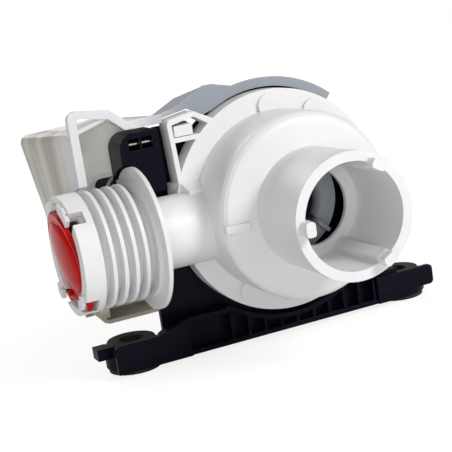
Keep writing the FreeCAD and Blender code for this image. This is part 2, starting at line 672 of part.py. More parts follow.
def make_outlet_fitting():
    body = outlet_piece("outlet_fitting")
    profile = level_sketch(body, "profile")
    outline(profile, [
        ("-disc_x + disc_thickness", "pipe_radius + seat_gap"),
        ("-disc_x + disc_thickness", "disc_radius"),
        ("-disc_x", "disc_radius"),
        ("-disc_x", "ring_radius"),
        ("-disc_x - hub_width", "ring_radius"),
        ("-disc_x - hub_width", "core_radius"),
        ("-collar_start", "core_radius"),
        ("-collar_start", "collar_radius"),
        ("-collar_end", "collar_radius"),
        ("-collar_end", "chamber_radius"),
        ("-collar_end + chamber_depth", "chamber_radius"),
        ("-collar_end + chamber_depth", "pipe_radius"),
        ("-ring_first - ring_pitch", "pipe_bore"),
        ("-disc_x + disc_thickness - socket_depth - seat_gap", "pipe_bore"),
        ("-disc_x + disc_thickness - socket_depth - seat_gap", "pipe_radius + seat_gap"),
    ])
    turned(body, "shell", profile, "H_Axis")
    ring = level_sketch(body, "ring_profile")
    box_outline(ring, "-ring_first - ring_thickness", "-ring_first",
                "core_radius - seat_gap", "ring_radius")
    rings = turned(body, "ring", ring, "H_Axis")
    in_a_row(body, "rings", [rings], "X_Axis", "ring_pitch", "ring_number", True)
    for index, angle in enumerate(("notch_angle", "180 - notch_angle")):
        notch = side_sketch(body, f"notch_outline_{index}", "-collar_end")
        cross_bar(notch, angle, "pipe_bore", "ring_radius + wall", "notch_width")
        pocket(body, f"notch_{index}", notch, "notch_depth")
    for index, start in enumerate(("-collar_radius", "slot_distance")):
        slot = front_sketch(body, f"slot_outline_{index}", start)
        box_outline(slot, "-collar_end", "-collar_end + notch_depth",
                    "-hinge_drop - ear_half - fit_gap", "-hinge_drop + ear_half + fit_gap")
        pocket(body, f"slot_{index}", slot, "collar_radius - slot_distance")
    return body


# Valve cage: ring with the valve seat, snapped into the collar by four fingers.

def make_valve_cage():
    body = outlet_piece("valve_cage")
    outer = "chamber_radius - fit_gap"
    inner = "chamber_radius - fit_gap - cage_wall"
    seat = "-collar_end + hinge_inset + flap_thickness + fit_gap"
    profile = level_sketch(body, "profile")
    outline(profile, [
        ("-collar_end", inner),
        ("-collar_end", outer),
        ("-collar_end + chamber_depth - seat_gap", outer),
        ("-collar_end + chamber_depth - seat_gap", inner),
        (f"{seat} + lip_thickness", inner),
        (f"{seat} + lip_thickness", f"{inner} - lip_width"),
        (seat, f"{inner} - lip_width"),
        (seat, inner),
    ])
    turned(body, "ring", profile, "H_Axis")
    for index, angle in enumerate(("notch_angle", "180 - notch_angle")):
        notch = side_sketch(body, f"notch_outline_{index}", "-collar_end")
        cross_bar(notch, angle, "pipe_bore", "ring_radius", "notch_width")
        pocket(body, f"notch_{index}", notch, "hinge_inset + flap_thickness")
    low = side_sketch(body, "hinge_room", "-collar_end")
    box_outline(low, "-ring_radius", "ring_radius", "-ring_radius",
                "-hinge_drop + ear_half + 3 * fit_gap")
    pocket(body, "hinge_cut", low, "hinge_inset + ear_half + fit_gap")
    tips = side_sketch(body, "finger_outlines", "-collar_end - finger_reach")
    for side in ("", "-"):
        outline(tips, [
            (f"{side}finger_outer", "-finger_top"),
            (f"{side}finger_step", "-finger_top"),
            (f"{side}finger_step", "-hinge_drop + ear_half + 2 * fit_gap"),
            (f"{side}finger_inner", "-hinge_drop + ear_half + 2 * fit_gap"),
            (f"{side}finger_inner", "-finger_low"),
            (f"{side}(finger_inner + finger_step + wall) / 2", "-finger_low"),
            (f"{side}finger_outer", "-finger_low + wall"),
        ])
    pad(body, "fingers", tips, "finger_reach")
    hooks = side_sketch(body, "hook_outlines", "-collar_end - finger_reach")
    ring_sector(hooks, "hook_inner", "hook_outer", "hook_start", "hook_end")
    ring_sector(hooks, "hook_inner", "hook_outer", "180 - hook_end", "180 - hook_start")
    pad(body, "hooks", hooks, "finger_reach")
    rise = "ring_radius - seat_gap"
    legs = side_sketch(body, "leg_outlines", "-collar_end - finger_reach")
    ring_sector(legs, "hook_outer - seat_gap", rise, "claw_start", "claw_end")
    ring_sector(legs, "hook_outer - seat_gap", rise, "180 - claw_end", "180 - claw_start")
    pad(body, "legs", legs, "finger_reach - seat_gap")
    return body


def make_check_flap():
    """The flap in its closed shape, its origin on the hinge, tilted open as at rest."""
    body = piece("check_flap", x="-collar_end + hinge_inset", y="-outlet_front",
                 z="-outlet_drop - hinge_drop")
    body.Placement.Rotation = FreeCAD.Rotation(FreeCAD.Vector(0, 1, 0), 0)
    body.setExpression("Placement.Rotation.Angle", tied("-flap_ajar"))
    disc = side_sketch(body, "disc_circle")
    circle(disc, "0", "hinge_drop", "flap_radius")
    pad(body, "disc", disc, "flap_thickness")
    dish = side_sketch(body, "dish_circle")
    circle(dish, "0", "hinge_drop", "flap_radius - flap_rim")
    pocket(body, "dish", dish, "flap_dish")
    bar = front_sketch(body, "bar_circle", "-ear_distance - strap")
    circle(bar, "0", "0", "pin_radius")
    pad(body, "bar", bar, "2 * (ear_distance + strap)")
    for index, start in enumerate(("-ring_radius", "ear_distance")):
        ear = front_sketch(body, f"ear_outline_{index}", start)
        box_outline(ear, "-pin_radius", "pin_radius", "-ear_half", "ear_half",
                    "pin_radius * 0.96")
        pad(body, f"ear_{index}", ear, "ring_radius - ear_distance")
    trim = side_sketch(body, "trim_circles", "-ear_half")
    circle(trim, "0", "hinge_drop", "ring_radius - fit_gap")
    circle(trim, "0", "hinge_drop", "2 * ring_radius")
    pocket(body, "trim", trim, "2 * ear_half")
    return body


# Impeller and its drive: the dog on the shaft turns freely in the hub until it meets the
# impeller's own dog, so that the motor can start either way round.

def make_impeller():
    body = piece("impeller")
    body.Placement.Rotation = FreeCAD.Rotation(FreeCAD.Vector(0, 1, 0), 0)
    body.setExpression("Placement.Rotation.Angle", tied("vane_turn"))
    profile = level_sketch(body, "profile")
    outline(profile, [
        ("shaft_radius + shaft_gap", "-impeller_back"),
        ("shaft_radius + shaft_gap", "-hub_front"),
        ("hub_radius - wall", "-hub_front"),
        ("hub_radius", "-vane_front"),
        ("hub_radius", "-impeller_back - impeller_disc"),
        ("impeller_radius", "-impeller_back - impeller_disc"),
        ("impeller_radius", "-impeller_back"),
    ])
    turned(body, "disc", profile, "V_Axis")
    vane = front_sketch(body, "vane_outline", "-vane_front")
    box_outline(vane, "hub_radius - seat_gap", "impeller_radius - vane_thickness / 2",
                "-vane_thickness / 2", "vane_thickness / 2")
    vanes = pad(body, "vane", vane, "vane_front - impeller_back - impeller_disc / 2")
    repeated(body, "vanes", [vanes], "Y_Axis", "vane_number")
    room = front_sketch(body, "dog_room_circle", "-vane_front")
    circle(room, "0", "0", "dog_room")
    pocket(body, "dog_room", room, "vane_front")
    stop = front_sketch(body, "stop_outline", "-vane_front - seat_gap")
    ring_sector(stop, "dog_boss + fit_gap", "dog_room + seat_gap",
                "90 - dog_angle / 2", "90 + dog_angle / 2")
    pad(body, "stop", stop, "vane_front - impeller_back - fit_gap")
    return body


def make_drive_dog():
    body = piece("drive_dog")
    body.Placement.Rotation = FreeCAD.Rotation(FreeCAD.Vector(0, 1, 0), 0)
    body.setExpression("Placement.Rotation.Angle", tied("vane_turn"))
    boss = front_sketch(body, "boss_circle", "-vane_front + fit_gap")
    circle(boss, "0", "0", "dog_boss")
    pad(body, "boss", boss, "vane_front - impeller_back - fit_gap")
    dog = front_sketch(body, "dog_outline", "-vane_front + fit_gap")
    ring_sector(dog, "dog_boss - seat_gap", "dog_room - fit_gap",
                "270 - dog_angle / 2", "270 + dog_angle / 2")
    pad(body, "dog", dog, "vane_front - impeller_back - fit_gap")
    bore = front_sketch(body, "bore_circle", "-vane_front")
    circle(bore, "0", "0", "shaft_radius")
    pocket(body, "bore", bore, "vane_front")
    return body


# Rotor and bearings, all turned about the shaft.

def turned_piece(label, corners):
    body = piece(label)
    profile = level_sketch(body, "profile")
    outline(profile, corners)
    turned(body, "shape", profile, "V_Axis")
    return body


def tube_piece(label, inner, outer, front, back):
    return turned_piece(label, [(inner, front), (outer, front), (outer, back), (inner, back)])


def make_rotor():
    turned_piece("rotor_shaft", [
        ("0", "-shaft_front"),
        ("shaft_radius - bead_rise", "-shaft_front"),
        ("shaft_radius", "-shaft_front + bead_rise"),
        ("shaft_radius", "shaft_back - bead_rise"),
        ("shaft_radius - bead_rise", "shaft_back"),
        ("0", "shaft_back"),
    ])
    tube_piece("rotor_magnet", "shaft_radius", "magnet_radius", "magnet_front", "magnet_back")
    turned_piece("magnet_sleeve", [
        ("shaft_radius", "magnet_front"),
        ("shaft_radius", "magnet_front - sleeve_wall"),
        ("magnet_radius + sleeve_wall - bead_rise", "magnet_front - sleeve_wall"),
        ("magnet_radius + sleeve_wall", "magnet_front - sleeve_wall + bead_rise"),
        ("magnet_radius + sleeve_wall", "magnet_back"),
        ("magnet_radius", "magnet_back"),
        ("magnet_radius", "magnet_front"),
    ])


def make_bearings():
    running = "shaft_radius + shaft_gap"
    rear = "well_step + fit_gap"
    front_end = "front_bush_y + bush_length"
    tube_piece("front_bush", running, "bush_radius", "front_bush_y", front_end)
    tube_piece("rear_bush", running, "bush_radius", rear, f"{rear} + bush_length")
    for label, start in (("front_bush_rubber", "front_bush_y"), ("rear_bush_rubber", rear)):
        tube_piece(label, "bush_radius", "bearing_pocket - seat_gap", start,
                   f"{start} + bush_length - fit_gap")
    washer = "cover_depth + fit_gap"
    tube_piece("front_thrust_washer", running, "washer_radius", washer,
               f"{washer} + washer_thickness")
    washer = "magnet_back + fit_gap"
    tube_piece("rear_thrust_washer", running, "washer_radius", washer,
               f"{washer} + washer_thickness")
    turned_piece("bearing_cover", [
        ("shaft_radius + fit_gap", "-plug_reach"),
        ("cover_radius", "-plug_reach"),
        ("cover_radius", "-plug_reach + cover_thickness"),
        ("well_bore - seat_gap", "-plug_reach + cover_thickness"),
        ("well_bore - seat_gap", "cover_depth"),
        ("bearing_pocket", "cover_depth"),
        ("bearing_pocket", "front_bush_y - seat_gap"),
        ("shaft_radius + fit_gap", "front_bush_y - seat_gap"),
    ])


def make_rotor_well():
    """Black motor plate: plug in the volute with the seal groove, and the rotor's well."""
    body = turned_piece("rotor_well", [
        ("cover_radius + seat_gap", "-plug_reach"),
        ("plug_radius", "-plug_reach"),
        ("plug_radius", "-plug_reach + seal_radius"),
        ("seal_seat", "-plug_reach + seal_radius"),
        ("seal_seat", "-plug_reach + 3.3 * seal_radius"),
        ("plug_radius", "-plug_reach + 3.3 * seal_radius"),
        ("plug_radius", "plate_front"),
        ("plate_radius", "plate_front"),
        ("plate_radius", "plate_front + plate_thickness"),
        ("well_bore + well_wall", "plate_front + plate_thickness"),
        ("well_bore + well_wall", "well_step + well_wall"),
        ("bearing_pocket + well_wall", "well_step + well_wall"),
        ("bearing_pocket + well_wall", "well_end"),
        ("0", "well_end"),
        ("0", "well_end - well_wall"),
        ("bearing_pocket", "well_end - well_wall"),
        ("bearing_pocket", "well_step"),
        ("well_bore", "well_step"),
        ("well_bore", "-plug_reach + cover_thickness + seat_gap"),
        ("cover_radius + seat_gap", "-plug_reach + cover_thickness + seat_gap"),
    ])
    holes = front_sketch(body, "screw_holes", "-wall")
    for turn in ("boss_angle", "boss_angle - boss_step"):
        for side in ("", "-"):
            circle(holes, f"{side}screw_circle * cos({turn})",
                   f"{side}screw_circle * sin({turn})", "screw_radius + fit_gap")
    pocket(body, "screw_cut", holes, "wall + plate_front + 2 * plate_thickness")
    return body


def make_volute_seal():
    turned_piece("volute_seal", [
        ("seal_seat + seat_gap", "-plug_reach + seal_radius + seat_gap"),
        ("seal_seat + 2 * seal_radius", "-plug_reach + seal_radius + seat_gap"),
        ("seal_seat + 2 * seal_radius", "-plug_reach + 3.3 * seal_radius - seat_gap"),
        ("seal_seat + seat_gap", "-plug_reach + 3.3 * seal_radius - seat_gap"),
    ])


# Stator: laminated core whose two limbs carry the coils, poles round the rotor well.

def make_stator():
    body = piece("stator_core")
    plate = front_sketch(body, "plate_outline", "core_front")
    box_outline(plate, "-core_left", "core_right", "-core_half", "core_half", "strap")
    pad(body, "stack", plate, "core_depth")
    slot = front_sketch(body, "slot_outline", "core_front")
    box_outline(slot, "-core_left + yoke", "0", "-core_slot", "core_slot")
    pocket(body, "slot", slot, "core_depth")
    bore = front_sketch(body, "pole_bore", "core_front")
    circle(bore, "0", "0", "well_bore + well_wall + fit_gap")
    pocket(body, "bore", bore, "core_depth")
    gap = front_sketch(body, "pole_gap_outline", "core_front")
    box_outline(gap, "0", "core_right + wall", "-pole_gap / 2", "pole_gap / 2")
    pocket(body, "pole_gap", gap, "core_depth")

    for label, sign in (("upper", ""), ("lower", "-")):
        middle = f"{sign}(core_half + core_slot) / 2"
        make_coil(label, middle)


def coil_box(sketch, grow, radius=None):
    """A rectangle round the limb, in Y and Z, grown on every side."""
    half = "(core_half - core_slot) / 2"
    box_outline(sketch, f"core_front - ({grow})", f"core_front + core_depth + ({grow})",
                f"-({half}) - ({grow})", f"{half} + ({grow})", radius)


def make_coil(side, middle):
    bobbin = piece(f"{side}_bobbin", z=middle)
    tube = side_sketch(bobbin, "tube_outline", "-coil_left")
    coil_box(tube, "seat_gap + bobbin_wall")
    pad(bobbin, "tube", tube, "coil_left - coil_right")
    for index, place in enumerate(("-coil_left", "-coil_right - bobbin_wall")):
        cheek = side_sketch(bobbin, f"cheek_outline_{index}", place)
        coil_box(cheek, "coil_build", "bobbin_round")
        pad(bobbin, f"cheek_{index}", cheek, "bobbin_wall")
    hole = side_sketch(bobbin, "hole_outline", "-coil_left")
    coil_box(hole, "seat_gap")
    pocket(bobbin, "hole", hole, "coil_left - coil_right")

    coil = piece(f"{side}_winding", z=middle)
    outer = side_sketch(coil, "outer_outline", "-coil_left + bobbin_wall + seat_gap")
    coil_box(outer, "coil_build - bobbin_wall", "bobbin_round - bobbin_wall")
    pad(coil, "turns", outer, "coil_left - coil_right - 2 * (bobbin_wall + seat_gap)")
    inner = side_sketch(coil, "inner_outline", "-coil_left")
    coil_box(inner, "2 * seat_gap + bobbin_wall")
    pocket(coil, "limb", inner, "coil_left - coil_right")


def make_terminal_block():
    body = piece("terminal_block")
    block = front_sketch(body, "block_outline", "block_front")
    outline(block, [
        ("-block_left", "block_bottom", "strap / 2"),
        ("-block_right", "block_bottom"),
        ("-block_right", "block_top", "strap / 2"),
        ("-block_left", "block_top", "block_round"),
    ])
    pad(body, "block", block, "block_depth")
    sockets = front_sketch(body, "socket_outlines", "block_front")
    blades = piece("blade_terminals")
    pins = front_sketch(blades, "pin_outlines", "block_front + socket_deep - tab_length")
    for index in range(2):
        left = f"-socket_left + {index} * socket_pitch"
        box_outline(sockets, left, f"{left} + socket_width", "socket_bottom", "socket_top")
        middle = "(socket_top + socket_bottom) / 2"
        box_outline(pins, f"{left} + (socket_width - tab_width) / 2",
                    f"{left} + (socket_width + tab_width) / 2",
                    f"{middle} - tab_thickness / 2", f"{middle} + tab_thickness / 2")
    pocket(body, "sockets", sockets, "socket_deep")
    room = side_sketch(body, "outlet_room", "-block_left - wall")
    circle(room, "-outlet_front", "-outlet_drop", "disc_room")
    pocket(body, "outlet_cut", room, "block_left - disc_x + disc_thickness + wall + fit_gap")
    coil = front_sketch(body, "coil_room", "core_front - coil_build - fit_gap")
    box_outline(coil, "-coil_left - fit_gap", "-block_right + wall",
                "block_bottom - wall", "core_half + coil_build + fit_gap")
    pocket(body, "coil_cut", coil, "block_depth")
    pad(blades, "pins", pins, "tab_length")
    return body


# Base bracket: one black moulding with a clamp ring behind the cover, a side wall behind
# the outlet pipe, a ribbed bar under the cover and a foot ring at each end.

def make_base_bracket():
    body = piece("base_bracket")
    ring = front_sketch(body, "ring_circles", "ring_plate_front")
    circle(ring, "0", "0", "ring_plate_outer")
    pad(body, "ring", ring, "ring_plate_depth")
    wing = front_sketch(body, "wing_outline", "ring_plate_front")
    outline(wing, [
        ("-wing_left", "-eye_top + strap"),
        ("-wing_right / 2", "-bar_left_top - 2 * bar_plate"),
        ("-wing_right / 2", "block_bottom"),
        ("-wing_right", "block_top"),
        ("-block_right + seat_gap", "block_top"),
        ("-block_right + seat_gap", "pipe_bore - outlet_drop"),
        ("-block_right + seat_gap", "-pipe_radius - outlet_drop"),
        ("-wing_left", "-pipe_radius - outlet_drop"),
    ])
    pad(body, "wing", wing, "ring_plate_depth")
    left_end = "-eye_left + eye_outer / 2"
    right_end = "eye_right - eye_outer / 2"
    web = front_sketch(body, "web_outline", "web_front")
    outline(web, [
        (left_end, "-bar_bottom"),
        (right_end, "-bar_bottom"),
        (right_end, "-eye_top"),
        ("bar_right", "-bar_right_top"),
        ("0", "-bar_right_top"),
        ("0", "-bar_left_top"),
        ("-bar_left", "-bar_left_top"),
        (left_end, "-eye_top"),
    ])
    pad(body, "web", web, "web_thickness")
    sole = front_sketch(body, "sole_outline", "bar_front")
    box_outline(sole, left_end, right_end, "-bar_bottom", "-bar_bottom + bar_plate")
    pad(body, "sole", sole, "bar_depth")
    top = front_sketch(body, "top_outline", "bar_front")
    outline(top, [
        (left_end, "-eye_top"),
        ("-bar_left", "-bar_left_top"),
        ("bar_right", "-bar_right_top"),
        (right_end, "-eye_top"),
        (right_end, "-eye_top - bar_plate"),
        ("bar_right", "-bar_right_top - bar_plate"),
        ("-bar_left", "-bar_left_top - bar_plate"),
        (left_end, "-eye_top - bar_plate"),
    ])
    pad(body, "top_strip", top, "ring_plate_front - bar_front")
    cradle = front_sketch(body, "cradle_circle", "bar_front")
    circle(cradle, "0", "0", "cradle_radius + bar_plate")
    pad(body, "cradle", cradle, "web_front - bar_front")
    rib = front_sketch(body, "rib_outline", "bar_front")
    box_outline(rib, "-base_rib_first", "-base_rib_first + bar_plate / 2",
                "-bar_bottom + bar_plate / 2", "-bar_right_top - bar_plate / 2")
    ribs = pad(body, "rib", rib, "web_front - bar_front + web_thickness / 2")
    in_a_row(body, "ribs", [ribs], "X_Axis", "base_rib_pitch", "base_rib_number")
    clear = front_sketch(body, "cradle_room", "bar_front")
    circle(clear, "0", "0", "cradle_radius")
    pocket(body, "cradle_cut", clear, "ring_plate_front - bar_front")
    upper = front_sketch(body, "upper_room", "bar_front")
    box_outline(upper, "-flange_radius - skirt_depth", "flange_radius + skirt_depth",
                "-bar_left_top + seat_gap", "flange_radius + skirt_depth")
    pocket(body, "upper_cut", upper, "ring_plate_front - bar_front")
    walls = front_sketch(body, "foot_wall_outlines", "foot_wall_front")
    outline(walls, [
        ("-foot_wall_left", "-bar_bottom"),
        ("-bar_left", "-bar_bottom"),
        ("-bar_left", "-bar_left_top"),
        ("-eye_left + eye_bore", "-foot_wall_top"),
        ("-foot_wall_left", "-foot_wall_top", "bar_plate"),
    ])
    outline(walls, [
        ("foot_wall_start", "-bar_bottom"),
        ("eye_right - bar_plate", "-bar_bottom"),
        ("eye_right + bar_plate", "-foot_wall_low"),
        ("foot_wall_right", "-foot_wall_low", "bar_plate"),
        ("foot_wall_right", "-foot_wall_top", "bar_plate"),
        ("foot_wall_start", "-foot_wall_top"),
    ])
    pad(body, "foot_walls", walls, "foot_wall")
    ear = level_sketch(body, "ear_outline", "-ear_bottom")
    box_outline(ear, "-ear_left", "-eye_left", "ear_y - ear_width / 2", "ear_y + ear_width / 2")
    pad(body, "ear", ear, "ear_bottom - ear_top")
    for side, place in (("left", "-eye_left"), ("right", "eye_right")):
        eye = level_sketch(body, f"{side}_eye_circle", "-eye_bottom")
        circle(eye, place, "eye_y", "eye_outer")
        pad(body, f"{side}_eye", eye, "eye_bottom - eye_top")
    bores = level_sketch(body, "eye_bores", "-axis_height")
    rooms = level_sketch(body, "flange_rooms", "-eye_top")
    for place in ("-eye_left", "eye_right"):
        circle(bores, place, "eye_y", "eye_bore")
        circle(rooms, place, "eye_y", "grommet_flange + fit_gap")
    pocket(body, "eye_cut", bores, "axis_height - eye_top + strap")
    pocket(body, "flange_cut", rooms, "eye_top - bar_left_top + strap")
    middle = front_sketch(body, "ring_bore", "bar_front")
    circle(middle, "0", "0", "ring_plate_inner")
    pocket(body, "ring_cut", middle, "ring_plate_front + ring_plate_depth")
    pipe = side_sketch(body, "pipe_room", "-wing_left - wall")
    circle(pipe, "-outlet_front", "-outlet_drop", "pipe_radius + wall / 2")
    pocket(body, "pipe_cut", pipe, "wing_left + wall - wing_right / 2")
    holes = front_sketch(body, "screw_holes", "bar_front")
    for turn in ("boss_angle", "boss_angle - boss_step"):
        for side in ("", "-"):
            circle(holes, f"{side}screw_circle * cos({turn})",
                   f"{side}screw_circle * sin({turn})", "screw_radius + fit_gap")
    pocket(body, "screw_cut", holes, "ring_plate_front + ring_plate_depth")
    return body


def make_grommets():
    for side, place in (("left", "-eye_left"), ("right", "eye_right")):
        body = piece(f"{side}_grommet", x=place, y="eye_y")
        profile = sketch_on(body, "profile", "XZ_Plane")
        outline(profile, [
            ("grommet_bore", "-axis_height"),
            ("grommet_flange", "-axis_height"),
            ("grommet_flange", "-eye_bottom - seat_gap"),
            ("eye_bore - seat_gap", "-eye_bottom - seat_gap"),
            ("eye_bore - seat_gap", "-eye_top + seat_gap"),
            ("grommet_flange", "-eye_top + seat_gap"),
            ("grommet_flange - strap / 2", "-grommet_top"),
            ("grommet_bore", "-grommet_top"),
        ])
        turned(body, "shape", profile, "V_Axis")


# Cover screws, from behind through the clamp ring and the motor plate into the bosses.

def make_cover_screws():
    body = piece("cover_screws")
    back = "ring_plate_front + ring_plate_depth"
    heads = front_sketch(body, "head_circles", back)
    shanks = front_sketch(body, "shank_circles", f"{back} - screw_length")
    for turn in ("boss_angle", "boss_angle - boss_step"):
        for side in ("", "-"):
            place = (f"{side}screw_circle * cos({turn})", f"{side}screw_circle * sin({turn})")
            circle(heads, *place, "screw_head")
            circle(shanks, *place, "screw_radius")
    pad(body, "shanks", shanks, f"screw_length + screw_head_height / 2")
    pad(body, "heads", heads, "screw_head_height")
    return body


# Drip hood: a grey shell over the coils and the terminals, with an arch over the motor.

def hood_section(sketch, depth, grow=""):
    """The shell's outline at its front (depth 0) or back (1), or the room inside it."""
    back = depth == 1
    inner = "hood_wall" if grow else "0"
    left_top = "hood_left_back" if back else "hood_left"
    left_low = "hood_low_back" if back else "hood_left"
    edge = "hood_edge_back" if back else "hood_edge_z"
    middle = "hood_mid_back" if back else "hood_mid_z"
    step = "hood_step_back" if back else "hood_step_z"
    low_right = "hood_low_right - hood_wall - wall" if grow else "hood_low_right"
    low, top = (f"(low_round - {inner})", f"(hood_round - {inner})")
    left, base = f"-{left_low} + {inner}", f"-hood_bottom + {inner}"
    upper, roof = f"-{left_top} + {inner}", f"{edge} - {inner}"
    outline(sketch, [
        (left, f"{base} + {low}"),
        (f"{left} + {low} * 0.29", f"{base} + {low} * 0.29"),
        (f"{left} + {low}", base),
        (f"-({low_right})", f"-hood_bottom + {inner}"),
        (f"-({low_right})", f"{step} - hood_wall - {inner} * 1.2"),
        ("-hood_step_x + wall" if grow else "-hood_step_x",
         f"{step} - hood_wall - {inner} * 1.2"),
        ("-hood_step_x + wall" if grow else "-hood_step_x", f"{step} - {inner} * 1.2"),
        ("-hood_mid_x + hood_wall * 3.5", f"{step} - {inner} * 1.2"),
        ("-hood_mid_x", f"{middle} - {inner}"),
        (f"{upper} + {top}", roof),
        (f"{upper} + {top} * 0.29", f"{roof} - {top} * 0.29"),
        (upper, f"{roof} - {top}"),
    ])


def make_drip_hood():
    body = piece("drip_hood")
    sections = [front_sketch(body, "shell_front", "hood_front"),
                front_sketch(body, "shell_back", "hood_back")]
    hood_section(sections[0], 0)
    hood_section(sections[1], 1)
    lofted(body, "shell", sections)
    rooms = [front_sketch(body, "room_front", "hood_front"),
             front_sketch(body, "room_back", "hood_back")]
    hood_section(rooms[0], 0, "room")
    hood_section(rooms[1], 1, "room")
    lofted(body, "room", rooms, "SubtractiveLoft")

    ramps = []
    for name, place, drop in (("ramp_front", "arch_front", "0"),
                              ("ramp_back", "arch_back", "ramp_drop")):
        ramp = front_sketch(body, name, place)
        top = [("-hood_step_x - hood_wall", "hood_step_z"), ("-ramp_x", "ramp_z"),
               ("-hump_x - strap", "hump_z - hood_wall / 3"), ("-hump_x + strap", "hump_z - hood_wall / 3"),
               ("arch_radius * cos(arch_end)", "arch_radius * sin(arch_end)")]
        under = [(x, f"{z} - hood_wall") for x, z in reversed(top)]
        outline(ramp, [(x, f"{z} - {drop}") for x, z in top + under])
        ramps.append(ramp)
    lofted(body, "ramp", ramps)
    arches = []
    for name, place, drop in (("arch_front_sector", "arch_front", "0"),
                              ("arch_back_sector", "arch_back", "ramp_drop")):
        arch = front_sketch(body, name, place)
        ring_sector(arch, f"arch_radius - hood_wall - {drop}", f"arch_radius - {drop}",
                    "arch_start", "arch_end + 1")
        arches.append(arch)
    lofted(body, "arch", arches)
    brow = front_sketch(body, "brow_outline", "arch_front")
    outline(brow, [
        ("-hood_step_x", "hood_step_z"),
        ("-hood_step_x", "arm_top + 3 * fit_gap"),
        ("-arm_apex_x", "arm_apex_z + 3 * fit_gap"),
        ("-arm_root_x - strap * 1.5", "arm_root_z + strap * 1.25"),
        ("ring_plate_outer * cos(brow_end)", "ring_plate_outer * sin(brow_end)"),
        ("ring_plate_outer * cos(brow_end - 10)", "ring_plate_outer * sin(brow_end - 10)"),
        ("ring_plate_outer * cos(arch_end)", "ring_plate_outer * sin(arch_end)"),
        ("arch_radius * cos(arch_end)", "arch_radius * sin(arch_end)"),
        ("-hump_x + strap", "hump_z - hood_wall / 3"),
        ("-hump_x - strap", "hump_z - hood_wall / 3"),
        ("-ramp_x", "ramp_z"),
    ])
    pad(body, "brow", brow, "hood_wall")
    edge = front_sketch(body, "brow_sector", "arch_front")
    ring_sector(edge, "ring_plate_outer", "arch_radius - seat_gap", "arch_start", "arch_end + 1")
    pad(body, "brow_arch", edge, "hood_wall")

    panel = front_sketch(body, "panel_outline", "panel_front")
    box_outline(panel, "-hood_left - hood_wall", "-panel_right",
                "-hood_bottom + seat_gap", "panel_top")
    pad(body, "panel", panel, "hood_wall")
    lip = front_sketch(body, "window_rim", "panel_front - window_lip")
    outline(lip, [
        ("-window_left - window_band", "-window_bottom - window_band", "window_round + window_band"),
        ("-panel_right", "-window_bottom - window_band"),
        ("-panel_right", "window_top + window_band"),
        ("-window_left - window_band", "window_top + window_band", "window_round + window_band"),
    ])
    pad(body, "window_lip", lip, "window_lip + seat_gap")
    window = front_sketch(body, "window_outline", "panel_front - window_lip")
    outline(window, [
        ("-window_left", "-window_bottom", "window_round"),
        ("-panel_right + wall", "-window_bottom"),
        ("-panel_right + wall", "window_top"),
        ("-window_left", "window_top", "window_round"),
    ])
    pocket(body, "window", window, "window_lip + hood_wall")
    rim = front_sketch(body, "rim_outline", "rim_front")
    outline(rim, [
        ("-hood_left", "low_round - hood_bottom"),
        ("-hood_left", "rim_left_z", "rim_band"),
        ("-rim_mid_x", "rim_mid_z"),
        ("-rim_end_x", "rim_end_z"),
        ("-hood_step_x", "rim_end_z + seat_gap"),
        ("-hood_step_x", "rim_end_z - rim_band"),
        ("-rim_end_x - rim_band / 3", "rim_end_z - rim_band"),
        ("-rim_mid_x - rim_band / 3", "rim_mid_z - rim_band"),
        ("-hood_left + rim_band", "rim_left_z - rim_band", "rim_band / 2"),
        ("-hood_left + rim_band", "low_round - hood_bottom"),
    ])
    pad(body, "rim", rim, "rim_depth")
    room = side_sketch(body, "outlet_circle", "-collar_end - finger_reach")
    circle(room, "-outlet_front", "-outlet_drop", "outlet_room")
    pocket(body, "outlet_cut", room, "collar_end + finger_reach - disc_x")
    return body


def make_hood_latch():
    """White block that clips the hood into the latch arm's window."""
    body = piece("hood_latch")
    block = front_sketch(body, "block_outline", "fit_gap")
    outline(block, [
        ("-arm_out + strap * 1.15 + 2 * fit_gap", "arm_bar_z + fit_gap"),
        ("-arm_foot_x + fit_gap", "arm_bar_z + fit_gap"),
        ("-arm_foot_x + fit_gap", "arm_top - strap - 2 * fit_gap"),
        ("-arm_out + strap + 4 * fit_gap", "arm_top - strap - 3 * fit_gap"),
    ])
    pad(body, "block", block, "arm_depth - 2 * fit_gap")
    return body


make_pump_housing()
make_outlet_fitting()
make_valve_cage()
make_check_flap()
make_impeller()
make_drive_dog()
make_rotor()
make_bearings()
make_rotor_well()
make_volute_seal()
make_stator()
make_terminal_block()
make_base_bracket()
make_grommets()
make_cover_screws()
make_drip_hood()
make_hood_latch()

doc.recompute()
for item in doc.Objects:
    if {"Invalid", "Error"} & set(item.State):
        raise RuntimeError(f"{item.Label} failed: {item.State}")
for item in PIECES:
    if item.Shape.isNull() or not item.Shape.isValid():
        raise RuntimeError(f"{item.Label} has no valid shape")
for item in PIECES:
    item.Shape.exportStep(f"parts/{item.Label}.step")
    print(item.Label, "solids", len(item.Shape.Solids), "volume", round(item.Shape.Volume, 1))
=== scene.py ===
import json
import math

import bmesh
import bpy
from mathutils import Matrix, Vector


